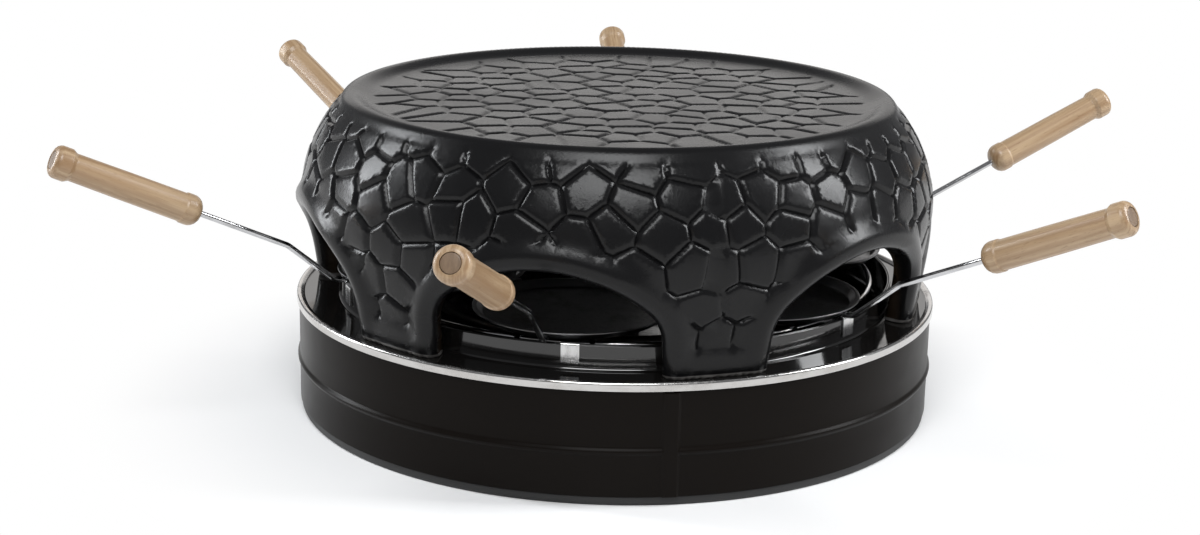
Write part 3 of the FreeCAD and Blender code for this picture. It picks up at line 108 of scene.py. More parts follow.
# Rows of points on the dome's skin: around the arches, over the foot, below the ring and on the plate
EDGE_ROWS = (0.25, 0.8, 1.7)
ROLL_ROWS = (3.0, 4.6, 6.4, 8.5)
FALL_ROWS = (11.0, 13.5, 16.0, 18.5, 21.0)
FOOT_EDGE_ROWS = (0.3, 0.9, 1.8)
FOOT_ROWS = (3.0, 5.5, 8.5, 11.5, 13.6, 15.2, 16.8, 18.6, 20.6)
FOOT_SPACING = 4.2
RING_LOW = 186.0
RING_SPACING = 1.5
PLATE_ROWS = (151.0, 149.4, 147.6)
PILLAR_STEPS = 25
RING_STEPS = 288
INNER_STEPS = 120

# Least gaps between those points
LINE_GAP = 0.2
EDGE_GAP = 0.15
ROLL_GAP = 0.6
FALL_GAP = 1.8
FOOT_EDGE_GAP = 0.25
FOOT_GAP = 1.6
RING_GAP = 1.1
PLATE_GAP = 1.3
INNER_LINE_GAP = 0.1
INNER_GAP = 2.0

# Cobbles
CELL_SIZE = 24.0
CELL_JITTER = 0.31
ROW_RISE = 0.87
WALL_DRAW, WALL_TILT_DRAW = 11, 12
PLATE_DRAW, PLATE_TILT_DRAW = 21, 22
WALL_COBBLES = (-22.0, 150.0)
COBBLE_FADE = (1.9, 0.25)
RING_FADE = (190.2, 187.6)
PLATE_FADE = 4.5
PLATE_RELIEF = 0.5
GROOVE_DEPTH = 1.6
GROOVE_HALF = 2.7
GROOVE_CURVE = 1.8
LIP_RISE = 0.28
LIP_PLACE = 3.0
LIP_WIDTH = 1.1
PILLOW_RISE = 0.6
PILLOW_REACH = 4.5
CELL_TILT = 0.012
CELL_STEP = 0.14
RELIEF_BATCH = 2000
RELIEF_SEEDS = 9
BORDER_SPACING = 3.0
BORDER_GAP = 0.35
INSET_GAP = 0.45
INSET_ROWS = ((0.6, 3.0), (1.25, 3.0), (2.0, 3.0), (2.9, 3.2), (4.0, 3.8), (5.8, 5.0), (9.0, 6.0))


# Mesh helpers

WELD = 0.02
ROUND_STEPS = 6


def mesh_object(name, points, faces, edges=()):
    """A linked object from points in millimetres."""
    mesh = bpy.data.meshes.new(name)
    mesh.from_pydata([tuple(float(c) * MM for c in point) for point in points], edges, faces)
    mesh.update()
    thing = bpy.data.objects.new(name, mesh)
    bpy.context.scene.collection.objects.link(thing)
    return thing


def finish_mesh(thing, sharp=38):
    """Welds doubles, points the faces outwards and shades the mesh smoothly up to an angle."""
    solid = bmesh.new()
    solid.from_mesh(thing.data)
    bmesh.ops.remove_doubles(solid, verts=solid.verts, dist=WELD * MM)
    bmesh.ops.dissolve_degenerate(solid, edges=solid.edges, dist=1e-7)
    bmesh.ops.recalc_face_normals(solid, faces=solid.faces)
    open_edges = [edge for edge in solid.edges if len(edge.link_faces) != 2]
    for face in solid.faces:
        face.smooth = True
    for edge in solid.edges:
        if len(edge.link_faces) == 2 and edge.calc_face_angle(0.0) > math.radians(sharp):
            edge.smooth = False
    solid.to_mesh(thing.data)
    solid.free()
    if open_edges:
        print(f"{thing.name}: {len(open_edges)} edges aren't closed")
    return thing


# Shared surface effects


def new_group(name, inputs, outputs):
    """A shader node group with number inputs and its own object coordinates."""
    tree = bpy.data.node_groups.new(name, "ShaderNodeTree")
    for socket, kind, value in inputs:
        made = tree.interface.new_socket(socket, in_out="INPUT", socket_type=kind)
        if value is not None:
            made.default_value = value
    for socket, kind in outputs:
        tree.interface.new_socket(socket, in_out="OUTPUT", socket_type=kind)
    return tree, Nodes(tree), tree.nodes.new("NodeGroupInput"), tree.nodes.new("NodeGroupOutput")


class Nodes:
    """Makes nodes in a tree with their settings and links in one call."""

    def __init__(self, tree):
        self.tree = tree

    def add(self, kind, settings=None, **sockets):
        made = self.tree.nodes.new(kind)
        for name, value in (settings or {}).items():
            setattr(made, name, value)
        for name, value in sockets.items():
            self.put(made.inputs[int(name[1:])] if name[0] == "i" and name[1:].isdigit()
                     else made.inputs[name.replace("_", " ")], value)
        return made

    def put(self, socket, value):
        if isinstance(value, bpy.types.NodeSocket):
            self.tree.links.new(value, socket)
        else:
            socket.default_value = value

    def noise(self, vector, scale, detail=3.0, roughness=0.55):
        made = self.add("ShaderNodeTexNoise", Vector=vector, Scale=scale, Detail=detail, Roughness=roughness)
        return made.outputs["Fac"]

    def math(self, operation, first, second=0.0):
        made = self.add("ShaderNodeMath", {"operation": operation}, i0=first, i1=second)
        return made.outputs[0]

    def remap(self, value, low, high, to_low, to_high):
        made = self.add("ShaderNodeMapRange", {"interpolation_type": "SMOOTHSTEP"},
                        i0=value, i1=low, i2=high, i3=to_low, i4=to_high)
        return made.outputs[0]

    def mix(self, share, first, second):
        made = self.add("ShaderNodeMix", {"data_type": "RGBA"}, i0=share, i6=first, i7=second)
        return made.outputs[2]

    def stretched(self, vector, scale):
        made = self.add("ShaderNodeMapping", Vector=vector, Scale=scale)
        return made.outputs[0]

    def blend(self, share, first, second):
        made = self.add("ShaderNodeMix", {"data_type": "FLOAT"}, i0=share, i2=first, i3=second)
        return made.outputs[0]

    def separate(self, vector):
        return self.add("ShaderNodeSeparateXYZ", Vector=vector).outputs

    def combine(self, x, y, z):
        return self.add("ShaderNodeCombineXYZ", X=x, Y=y, Z=z).outputs[0]

    def coordinates(self):
        return self.add("ShaderNodeTexCoord").outputs["Object"]

    def from_axis(self):
        """Distance from the oven's upright axis, and height."""
        across, along, level = self.separate(self.coordinates())
        reach = self.add("ShaderNodeVectorMath", {"operation": "LENGTH"}, i0=self.combine(across, along, 0.0))
        return reach.outputs["Value"], level


def glaze_group():
    """Fired glaze or paint: an uneven skin, small specks and slow clouds."""
    tree, make, given, out = new_group(
        "fired_skin",
        [("Skin Scale", "NodeSocketFloat", 900.0), ("Speck Scale", "NodeSocketFloat", 260.0),
         ("Speck Size", "NodeSocketFloat", 0.16)],
        [("Height", "NodeSocketFloat"), ("Specks", "NodeSocketFloat"), ("Clouds", "NodeSocketFloat")])
    where = make.coordinates()
    skin = make.noise(where, given.outputs["Skin Scale"], 2.0)
    size = given.outputs["Speck Size"]
    cells = make.add("ShaderNodeTexVoronoi", {"feature": "F1"}, Vector=where,
                     Scale=given.outputs["Speck Scale"])
    specks = make.remap(cells.outputs["Distance"], make.math("MULTIPLY", size, 0.45), size, 1.0, 0.0)
    chosen = make.math("GREATER_THAN", make.separate(cells.outputs["Color"])[0], 0.6)
    specks = make.math("MULTIPLY", specks, chosen)
    make.put(out.inputs["Height"], skin)
    make.put(out.inputs["Specks"], specks)
    make.put(out.inputs["Clouds"], make.noise(where, 16.0, 3.0))
    return tree


def metal_group():
    """Worked metal: fine marks along one direction, wipe marks and slow clouds."""
    tree, make, given, out = new_group(
        "worked_metal",
        [("Mark Scale", "NodeSocketFloat", 500.0), ("Mark Stretch", "NodeSocketVector", (1.0, 1.0, 0.05))],
        [("Marks", "NodeSocketFloat"), ("Wipes", "NodeSocketFloat"), ("Clouds", "NodeSocketFloat")])
    where = make.coordinates()
    marks = make.noise(make.stretched(where, given.outputs["Mark Stretch"]), given.outputs["Mark Scale"], 4.0)
    make.put(out.inputs["Marks"], marks)
    wipes = make.noise(make.stretched(where, (1.0, 1.0, 2.6)), 34.0, 5.0, 0.7)
    make.put(out.inputs["Wipes"], make.remap(wipes, 0.46, 0.66, 0.0, 1.0))
    make.put(out.inputs["Clouds"], make.noise(where, 11.0, 2.0))
    return tree


def wood_group():
    """Straight-grained beech along a piece's own length: fibres, flecks and slow tone."""
    tree, make, given, out = new_group(
        "beech_grain",
        [("Place", "NodeSocketVector", None)],
        [("Fibres", "NodeSocketFloat"), ("Flecks", "NodeSocketFloat"), ("Tone", "NodeSocketFloat")])
    place = given.outputs["Place"]
    fibres = make.noise(make.stretched(place, (1.0, 1.0, 0.03)), 1500.0, 4.0, 0.6)
    rings = make.noise(make.stretched(place, (1.0, 0.25, 0.018)), 420.0, 3.0)
    flecks = make.noise(make.stretched(place, (1.0, 1.0, 0.16)), 1300.0, 2.0)
    make.put(out.inputs["Fibres"], fibres)
    make.put(out.inputs["Flecks"], make.remap(flecks, 0.60, 0.72, 0.0, 1.0))
    make.put(out.inputs["Tone"], rings)
    return tree


FIRED_SKIN = glaze_group()
WORKED_METAL = metal_group()
BEECH_GRAIN = wood_group()


class Finish:
    """A material with one principled shader and helpers to feed it."""

    def __init__(self, name):
        self.material = bpy.data.materials.new(name)
        self.material.use_nodes = True
        tree = self.material.node_tree
        self.make = Nodes(tree)
        self.shader = tree.nodes["Principled BSDF"]

    def set(self, **values):
        for name, value in values.items():
            self.make.put(self.shader.inputs[name.replace("_", " ")], value)
        return self

    def group(self, tree, **sockets):
        made = self.make.add("ShaderNodeGroup", {"node_tree": tree})
        for name, value in sockets.items():
            self.make.put(made.inputs[name.replace("_", " ")], value)
        return made.outputs

    def fed(self, name):
        """What feeds one of the shader's sockets."""
        return self.shader.inputs[name].links[0].from_socket

    def bump(self, height, strength, distance):
        made = self.make.add("ShaderNodeBump", Height=height, Strength=strength, Distance=distance)
        self.make.put(self.shader.inputs["Normal"], made.outputs[0])
        return self


# Spread of the slow clouds, and where the dome's glaze changes, in metres
CLOUD_SPAN = (0.3, 0.7)
CLAY_EDGE = (0.0722, 0.0732)
# The dome is brown within 180 mm of its axis and below 135 to 160 mm, which is its inside.
BROWN_INSIDE_REACH = (0.180, 0.187)
BROWN_INSIDE_TOP = (0.135, 0.160)
BROWN_INSIDE_GLAZE = (0.030, 0.019, 0.011)
BARE_CLAY = (0.23, 0.22, 0.21)
ENAMEL_BLACK = (0.006, 0.0056, 0.0054)

# Dark and light colour, roughness from and to, specular level, skin scale, bump
DOME_GLAZE = ((0.0040, 0.0040, 0.0044), (0.0062, 0.0060, 0.0064), (0.24, 0.30), 0.27, 700.0, 0.10)
# The drum's paint is black, and its warm brown tint is a painted reflection of a brown table.
DRUM_PAINT_WITH_BROWN_REFLECTION = ((0.0052, 0.0039, 0.0031), (0.0068, 0.0052, 0.0042), (0.28, 0.38), 0.07, 1500.0, 0.06)

# Colour, stain, roughness from and to, stretch of the marks
RIM_STEEL = ((0.62, 0.61, 0.60), (0.50, 0.48, 0.46), (0.12, 0.30), (1, 1, 0.05))
METALS = {
    "polished_steel": ((0.50, 0.50, 0.505), (0.40, 0.40, 0.40), (0.05, 0.16), (1, 1, 0.05)),
    "plain_steel": ((0.5, 0.5, 0.5), (0.4, 0.39, 0.37), (0.22, 0.45), (1, 0.04, 1)),
    "clip_steel": ((0.66, 0.66, 0.66), (0.5, 0.5, 0.5), (0.16, 0.34), (1, 1, 0.06)),
    "rack_chrome": ((0.68, 0.68, 0.69), (0.5, 0.47, 0.42), (0.08, 0.25), (1, 1, 1)),
    "rod_chrome": ((0.6, 0.6, 0.61), (0.4, 0.4, 0.4), (0.08, 0.26), (1, 1, 1)),
    "element_steel": ((0.13, 0.12, 0.11), (0.07, 0.06, 0.055), (0.4, 0.62), (1, 1, 1)),
    "fastener_steel": ((0.58, 0.57, 0.54), (0.44, 0.42, 0.38), (0.25, 0.45), (1, 1, 1)),
    "pan_steel": ((0.16, 0.16, 0.165), (0.09, 0.08, 0.07), (0.28, 0.5), (1, 1, 1)),
    "terminal_brass": ((0.72, 0.52, 0.22), (0.5, 0.35, 0.15), (0.22, 0.4), (1, 1, 1)),
}

# Two colours, roughness from and to, grain scale, bump
PLASTICS = {
    "foot_black": ((0.012, 0.012, 0.012), (0.02, 0.02, 0.02), (0.45, 0.6), 1200.0, 0.1),
    "block_porcelain": ((0.8, 0.79, 0.75), (0.72, 0.71, 0.67), (0.2, 0.3), 500.0, 0.03),
    "cutout_plastic": ((0.04, 0.03, 0.028), (0.06, 0.05, 0.045), (0.4, 0.55), 900.0, 0.06),
    "lead_sleeve": ((0.72, 0.7, 0.64), (0.62, 0.6, 0.53), (0.55, 0.7), 1800.0, 0.2),
    "switch_plastic": ((0.016, 0.016, 0.016), (0.024, 0.024, 0.024), (0.42, 0.55), 2200.0, 0.12),
    "rocker_plastic": ((0.018, 0.018, 0.018), (0.026, 0.026, 0.026), (0.2, 0.3), 2600.0, 0.03),
    "lens_plastic": ((0.62, 0.09, 0.02), (0.75, 0.16, 0.03), (0.1, 0.18), 900.0, 0.02),
    "gland_rubber": ((0.016, 0.016, 0.016), (0.028, 0.027, 0.026), (0.55, 0.7), 1500.0, 0.15),
}

# Pale, deep and fleck colours
WOODS = {
    "grip_beech": ((0.48, 0.345, 0.212), (0.29, 0.178, 0.092), (0.18, 0.098, 0.044)),
    "grip_plug": ((0.23, 0.155, 0.098), (0.165, 0.108, 0.066), (0.12, 0.076, 0.045)),
}


def paint(colour):
    """A colour with full cover."""
    return (*colour, 1)


def fired_finish(name, dark, light, rough, gloss, skin_scale, bump):
    """Black glaze or baked paint."""
    finish = Finish(name)
    make = finish.make
    skin = finish.group(FIRED_SKIN, Skin_Scale=skin_scale)
    finish.set(Base_Color=make.mix(skin["Clouds"], paint(dark), paint(light)), Specular_IOR_Level=gloss,
               Roughness=make.remap(skin["Clouds"], *CLOUD_SPAN, *rough))
    height = make.math("ADD", skin["Height"], make.math("MULTIPLY", skin["Specks"], 0.9))
    return finish.bump(height, bump, 0.0006)


def metal_finish(name, colour, stain, rough, stretch):
    """Bare or plated metal with fine marks."""
    finish = Finish(name)
    make = finish.make
    worked = finish.group(WORKED_METAL, Mark_Stretch=stretch)
    tone = make.mix(make.math("MULTIPLY", worked["Wipes"], 0.55), paint(colour), paint(stain))
    spread = make.math("ADD", worked["Marks"], make.math("MULTIPLY", worked["Wipes"], 0.35))
    finish.set(Base_Color=tone, Metallic=1.0, Roughness=make.remap(spread, 0.3, 1.0, *rough))
    return finish.bump(worked["Marks"], 0.05, 0.0002)


def plastic_finish(name, colour, second, rough, grain_scale, bump):
    """Moulded plastic, porcelain or rubber with a fine grain."""
    finish = Finish(name)
    make = finish.make
    skin = finish.group(FIRED_SKIN, Skin_Scale=grain_scale)
    finish.set(Base_Color=make.mix(skin["Clouds"], paint(colour), paint(second)),
               Roughness=make.remap(skin["Clouds"], *CLOUD_SPAN, *rough))
    return finish.bump(skin["Height"], bump, 0.0003)


def glaze_finish():
    """Black dome glaze, brown on the inside, bare clay under the feet."""
    finish = fired_finish("dome_glaze", *DOME_GLAZE)
    make = finish.make
    reach, level = make.from_axis()
    clay = make.remap(level, *CLAY_EDGE, 1.0, 0.0)
    brown_inside = make.remap(reach, *BROWN_INSIDE_REACH, 1.0, 0.0)
    brown_inside = make.math("MULTIPLY", brown_inside, make.remap(level, *BROWN_INSIDE_TOP, 1.0, 0.0))
    glaze = make.mix(brown_inside, finish.fed("Base Color"), paint(BROWN_INSIDE_GLAZE))
    return finish.set(Base_Color=make.mix(clay, glaze, paint(BARE_CLAY)))


def enamel_finish():
    """Black mirror enamel on tray and dish, worn off along the tray's bright rim."""
    finish = metal_finish("tray_enamel", *RIM_STEEL)
    make = finish.make
    reach = make.from_axis()[0]
    rim = make.remap(reach, RIM_START * MM, (RIM_START + RIM_BLEND) * MM, 0.0, 1.0)
    gloss = make.remap(make.noise(make.coordinates(), 60.0, 4.0), *CLOUD_SPAN, 0.04, 0.10)
    return finish.set(
        Base_Color=make.mix(rim, paint(ENAMEL_BLACK), finish.fed("Base Color")), Metallic=rim,
        Specular_IOR_Level=0.8, Roughness=make.blend(rim, gloss, finish.fed("Roughness")))


def beech_finish(name, pale, deep, fleck):
    """Varnished beech that follows the grip's own length."""
    finish = Finish(name)
    make = finish.make
    place = make.add("ShaderNodeAttribute", {"attribute_name": "grain"}).outputs["Vector"]
    grain = finish.group(BEECH_GRAIN, Place=place)
    tone = make.mix(make.remap(grain["Tone"], 0.32, 0.68, 0.0, 1.0), paint(pale), paint(deep))
    tone = make.mix(make.math("MULTIPLY", grain["Flecks"], 0.45), tone, paint(fleck))
    tone = make.mix(make.remap(grain["Fibres"], 0.35, 0.7, 0.0, 0.28), tone, paint(deep))
    finish.set(Base_Color=tone, Roughness=make.remap(grain["Fibres"], *CLOUD_SPAN, 0.34, 0.46),
               Coat_Weight=0.25, Coat_Roughness=0.2)
    return finish.bump(grain["Fibres"], 0.08, 0.0004)


FINISHES = {
    "dome_glaze": glaze_finish(),
    "drum_paint": fired_finish("drum_paint", *DRUM_PAINT_WITH_BROWN_REFLECTION),
    "tray_enamel": enamel_finish(),
}
for finisher, table in ((metal_finish, METALS), (plastic_finish, PLASTICS), (beech_finish, WOODS)):
    FINISHES.update({name: finisher(name, *looks) for name, looks in table.items()})


def dress(thing, name):
    """Gives an object one finish."""
    thing.data.materials.clear()
    thing.data.materials.append(FINISHES[name].material)


for part in frame["record"]["subparts"]:
    node = frame["nodes"][part["node"]]
    for slot in node.material_slots:
        slot.material = FINISHES[part["material_slot"]].material


# Shapes from geometry nodes


def shape_tree(name, inputs):
    """A geometry tree with named inputs: the tree, its maker and its two ends."""
    tree = bpy.data.node_groups.new(name, "GeometryNodeTree")
    tree.interface.new_socket("Geometry", in_out="INPUT", socket_type="NodeSocketGeometry")
    for socket, kind, value in inputs:
        made = tree.interface.new_socket(socket, in_out="INPUT", socket_type=kind)
        made.default_value = value
    tree.interface.new_socket("Finish", in_out="INPUT", socket_type="NodeSocketMaterial")
    tree.interface.new_socket("Geometry", in_out="OUTPUT", socket_type="NodeSocketGeometry")
    return tree, Nodes(tree), tree.nodes.new("NodeGroupInput"), tree.nodes.new("NodeGroupOutput")


def end_tree(make, given, out, shape):
    """Ends a tree with real geometry in its finish."""
    real = make.add("GeometryNodeRealizeInstances", Geometry=shape).outputs[0]
    dressed = make.add("GeometryNodeSetMaterial", Geometry=real, Material=given.outputs["Finish"])
    make.put(out.inputs["Geometry"], dressed.outputs[0])


def turned_tree():
    """An outline (distance, height) turned about the upright axis."""
    tree, make, given, out = shape_tree("turned_outline", [("Segments", "NodeSocketInt", 256)])
    outline = make.add("GeometryNodeMeshToCurve", Mesh=given.outputs["Geometry"]).outputs[0]
    inward = make.add("GeometryNodeTransform", Geometry=outline, Translation=(-1.0, 0.0, 0.0),
                      Scale=(1.0, -1.0, 1.0))
    circle = make.add("GeometryNodeCurvePrimitiveCircle", Resolution=given.outputs["Segments"], Radius=1.0)
    swept = make.add("GeometryNodeCurveToMesh", Curve=circle.outputs[0], Profile_Curve=inward.outputs[0])
    end_tree(make, given, out, swept.outputs[0])
    return tree


def bent_sweep(make, given, steps, section):
    """A section along the given lines, with their corners bent."""
    line = make.add("GeometryNodeMeshToCurve", Mesh=given.outputs["Geometry"]).outputs[0]
    bent = make.add("GeometryNodeFilletCurve", {"mode": "POLY"}, Curve=line, Count=steps,
                    Radius=given.outputs["Bend Radius"])
    swept = make.add("GeometryNodeCurveToMesh", Curve=bent.outputs[0], Profile_Curve=section.outputs[0],
                     Fill_Caps=True)
    return swept.outputs[0]


def wire_tree():
    """Round wire along lines, with its corners bent."""
    tree, make, given, out = shape_tree("bent_wire", [
        ("Wire Radius", "NodeSocketFloat", 0.002), ("Bend Radius", "NodeSocketFloat", 0.0),
        ("Bend Steps", "NodeSocketInt", 10), ("Sides", "NodeSocketInt", 20)])
    section = make.add("GeometryNodeCurvePrimitiveCircle", Resolution=given.outputs["Sides"],
                       Radius=given.outputs["Wire Radius"])
    end_tree(make, given, out, bent_sweep(make, given, given.outputs["Bend Steps"], section))
    return tree


def strap_tree():
    """A bent flat strap, repeated about the upright axis."""
    tree, make, given, out = shape_tree("ring_of_straps", [
        ("Thickness", "NodeSocketFloat", 0.001), ("Width", "NodeSocketFloat", 0.01),
        ("Bend Radius", "NodeSocketFloat", 0.001), ("Bend Steps", "NodeSocketInt", 5),
        ("Count", "NodeSocketInt", 6), ("Step", "NodeSocketFloat", 1.0), ("Start", "NodeSocketFloat", 0.0)])
    section = make.add("GeometryNodeCurvePrimitiveQuadrilateral", Width=given.outputs["Thickness"],
                       Height=given.outputs["Width"])
    strap = bent_sweep(make, given, given.outputs["Bend Steps"], section)
    spots = make.add("GeometryNodePoints", Count=given.outputs["Count"])
    number = make.add("GeometryNodeInputIndex").outputs[0]
    angle = make.math("ADD", make.math("MULTIPLY", number, given.outputs["Step"]), given.outputs["Start"])
    turn = make.add("ShaderNodeCombineXYZ", Z=angle)
    copies = make.add("GeometryNodeInstanceOnPoints", Points=spots.outputs[0], Instance=strap,
                      Rotation=turn.outputs[0])
    end_tree(make, given, out, copies.outputs[0])
    return tree


TURNED_OUTLINE = turned_tree()
BENT_WIRE = wire_tree()
RING_OF_STRAPS = strap_tree()


def shaped(name, tree, points, edges, finish, **inputs):
    """The plain mesh that a tree makes of lines."""
    piece = mesh_object(name, points, [], edges)
    modifier = piece.modifiers.new(tree.name, "NODES")
    modifier.node_group = tree
    inputs["Finish"] = FINISHES[finish].material
    for socket in tree.interface.items_tree:
        if socket.in_out == "INPUT" and socket.name.replace(" ", "_") in inputs:
            modifier[socket.identifier] = inputs[socket.name.replace(" ", "_")]
    lines = piece.data
    graph = bpy.context.evaluated_depsgraph_get()
    piece_mesh = bpy.data.meshes.new_from_object(piece.evaluated_get(graph))
    piece.modifiers.remove(modifier)
    piece.data = piece_mesh
    bpy.data.meshes.remove(lines)
    piece_mesh.name = name
    return finish_mesh(piece)


def line_edges(count, closed):
    """The edges of one line of points."""
    return [(i, (i + 1) % count) for i in range(count if closed else count - 1)]


def rounded(corners):
    """The points of an outline whose corners (distance, height, radius) are rounded off."""
    spots = []
    for index, (x, y, radius) in enumerate(corners):
        here = Vector((x, y))
        if not radius:
            spots.append((x, y))
            continue
        back = (Vector(corners[index - 1][:2]) - here).normalized()
        onward = (Vector(corners[(index + 1) % len(corners)][:2]) - here).normalized()
        half = back.angle(onward) / 2
        centre = here + (back + onward).normalized() * (radius / math.sin(half))
        reach = radius / math.tan(half)
        first = here + back * reach - centre
        last = here + onward * reach - centre
        for share in np.linspace(0, 1, ROUND_STEPS + 1):
            spots.append(tuple(centre + first.lerp(last, share).normalized() * radius))
    return spots


def turned(name, corners, finish, segments=256):
    """A turned piece. An outline that starts and ends on the axis stays open there."""
    outline = rounded(corners)
    closed = corners[0][0] > 0 or corners[-1][0] > 0
    points = [(x, y, 0) for x, y in outline]
    return shaped(name, TURNED_OUTLINE, points, line_edges(len(points), closed), finish, Segments=segments)


def join(piece, body, slot, *nodes):
    """Gives a piece its body, in place of the named nodes. The slot is not used."""
    if nodes:
        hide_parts(*nodes)
    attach(piece, body)
    return piece


# Dome


def dome_profile():
    """The smoothed outer line of the dome without plinth and bands: radius, height, length and normal."""
    line = [(WALL_FOOT_RADIUS, DOME_FOOT), (WALL_TOP_RADIUS, WALL_TOP)]
    end = math.acos((RING_FOOT[0] - SHOULDER_CENTRE) / SHOULDER_RADIUS)
    for angle in np.linspace(0, end, 80)[1:]:
        line.append((SHOULDER_CENTRE + SHOULDER_RADIUS * math.cos(angle),
                     WALL_TOP + SHOULDER_RADIUS * math.sin(angle)))
    crest_centre = RING_TOP - RING_ROUND
    spread = math.asin(RING_HALF / RING_ROUND)
    for angle in np.linspace(spread, -spread, 24):
        line.append((RING_CREST_RADIUS + RING_ROUND * math.sin(angle),
                     crest_centre + RING_ROUND * math.cos(angle)))
    line += [(PLATE_EDGE, PLATE_LEVEL), (PLATE_EDGE - 12, PLATE_LEVEL)]
    line = np.array(line)
    length = np.concatenate([[0], np.cumsum(np.hypot(*np.diff(line, axis=0).T))])
    even = np.arange(0, length[-1], PROFILE_STEP)
    spots = np.stack([np.interp(even, length, line[:, 0]), np.interp(even, length, line[:, 1])], 1)
    reach = int(4 * PROFILE_SMOOTHING / PROFILE_STEP)
    weights = np.exp(-0.5 * (np.arange(-reach, reach + 1) * PROFILE_STEP / PROFILE_SMOOTHING) ** 2)
    weights /= weights.sum()
    before = spots[0] + (spots[0] - spots[1:reach + 1][::-1])
    after = spots[-1] + (spots[-1] - spots[-reach - 1:-1][::-1])
    padded = np.concatenate([before, spots, after])
    smooth = np.stack([np.convolve(padded[:, i], weights, mode="valid") for i in (0, 1)], 1)
    along = np.gradient(smooth, axis=0)
    along /= np.linalg.norm(along, axis=1)[:, None]
    normal = np.stack([along[:, 1], -along[:, 0]], 1)
    length = np.concatenate([[0], np.cumsum(np.hypot(*np.diff(smooth, axis=0).T))])
    return {"t": length, "r": smooth[:, 0], "z": smooth[:, 1], "nr": normal[:, 0], "nz": normal[:, 1]}


PROFILE = dome_profile()
STRETCH = WALL_FOOT_RADIUS
AROUND = 2 * math.pi * STRETCH
SEAM = math.radians(30)
SEAM_BEFORE = SEAM - 2 * math.pi
ARCH_MIDDLES = [math.radians(azimuth if azimuth == 0 else azimuth - 360) for azimuth in ARCH_AZIMUTHS]
CREST_INDEX = int(np.argmax(PROFILE["z"]))
JOIN_LENGTH = float(np.interp(-PLATE_JOIN, -PROFILE["r"][CREST_INDEX:], PROFILE["t"][CREST_INDEX:]))


def along_profile(t, key):
    """A value of the dome's line at a length along it."""
    return np.interp(t, PROFILE["t"], PROFILE[key])


def length_at(z):
    """Length along the wall's line up to a height below the ring."""
    return np.interp(z, PROFILE["z"][:CREST_INDEX], PROFILE["t"][:CREST_INDEX])


def arch_line(margin, foot):
    """Points (across, height) of an arch's outline, widened by a margin."""
    half = ARCH_HALF + margin
    spread = math.atan2(ARCH_SIDE_CENTRE, ARCH_DROP)
    right = [(half, z) for z in np.linspace(foot, ARCH_SPRING, LEG_STEPS + 1)]
    for angle in np.linspace(0, math.pi / 2 - spread, SIDE_STEPS + 1)[1:]:
        right.append((ARCH_SIDE_CENTRE + (ARCH_SIDE + margin) * math.cos(angle),
                      ARCH_SPRING + (ARCH_SIDE + margin) * math.sin(angle)))
    for angle in np.linspace(spread, 0, CROWN_STEPS // 2 + 1)[1:]:
        right.append(((ARCH_CROWN + margin) * math.sin(angle),
                      ARCH_SPRING - ARCH_DROP + (ARCH_CROWN + margin) * math.cos(angle)))
    left = [(-u, z) for u, z in right[:-1]]
    return np.array(right + left[::-1])


def arch_distance(u, z):
    """Distance outside an arch's outline, negative inside."""
    u = np.abs(u)
    leg = u - ARCH_HALF
    crown = np.hypot(u, z - ARCH_SPRING + ARCH_DROP) - ARCH_CROWN
    side = np.hypot(u - ARCH_SIDE_CENTRE, z - ARCH_SPRING) - ARCH_SIDE
    in_crown = u * ARCH_DROP < ARCH_SIDE_CENTRE * (z - ARCH_SPRING + ARCH_DROP)
    return np.where(z < ARCH_SPRING, leg, np.where(in_crown, crown, side))


def band_radius(z):
    """Outer radius of the arch bands at a height."""
    return PLINTH_RADIUS + (BAND_TOP_RADIUS - PLINTH_RADIUS) * (z - DOME_FOOT) / (WALL_TOP - DOME_FOOT)


def nearest_arch(angle):
    """The angle from the middle of the nearest arch."""
    step = math.radians(60)
    return angle - step * np.round(angle / step)


def outer_arch_distance(s, t):
    """Distance outside the nearest arch's outline on the flattened wall."""
    z = along_profile(t, "z")
    across = along_profile(t, "r") * np.sin(nearest_arch(s / STRETCH))
    return arch_distance(across, z)


def smoothstep(low, high, value):
    share = np.clip((value - low) / (high - low), 0, 1)
    return share * share * (3 - 2 * share)


def smooth_max(a, b, blend):
    return 0.5 * (a + b + np.sqrt((a - b) ** 2 + blend * blend)) - 0.5 * blend


def raised(s, t):
    """How far plinth and arch bands stand out over the wall, and how far their edges are rolled back."""
    z = along_profile(t, "z")
    wall = along_profile(t, "r")
    distance = np.maximum(outer_arch_distance(s, t), 0)
    height = np.where(z < WALL_TOP, band_radius(z) - wall, BAND_TOP_RADIUS - WALL_TOP_RADIUS)
    fall = np.clip((distance - BAND_ROLL_WIDTH) / BAND_FALL, 0, 1)
    band = height * 0.5 * (1 + np.cos(math.pi * fall))
    plinth = (PLINTH_RADIUS - wall) * smoothstep(*PLINTH_FADE, z)
    stand = smooth_max(np.maximum(band, 0), np.maximum(plinth, 0), STAND_BLEND)
    roll = np.clip(1 - distance / BAND_ROLL_WIDTH, 0, 1)
    rolled = BAND_ROLL_DEPTH * (1 - np.sqrt(np.clip(1 - roll * roll, 0, 1)))
    foot = np.clip(1 - t / FOOT_ROUND_LENGTH, 0, 1)
    return stand, rolled + FOOT_ROUND * (1 - np.sqrt(np.clip(1 - foot * foot, 0, 1)))


def cobble_mask(s, t):
    """1 on the cobbled panels, 0 on plinth, bands and ring."""
    stand = raised(s, t)[0]
    z = along_profile(t, "z")
    near_ring = smoothstep(*RING_FADE, z) * (t < 0.9 * JOIN_LENGTH)
    return smoothstep(*COBBLE_FADE, stand) * near_ring


def clip_polygon(polygon, normal, limit):
    """The part of a convex polygon where the normal's product stays within the limit."""
    kept = []
    for here, after in zip(polygon, np.roll(polygon, -1, axis=0)):
        a = here @ normal - limit
        b = after @ normal - limit
        if a <= 0:
            kept.append(here)
        if a * b < 0:
            kept.append(here + (after - here) * (a / (a - b)))
    return np.array(kept)


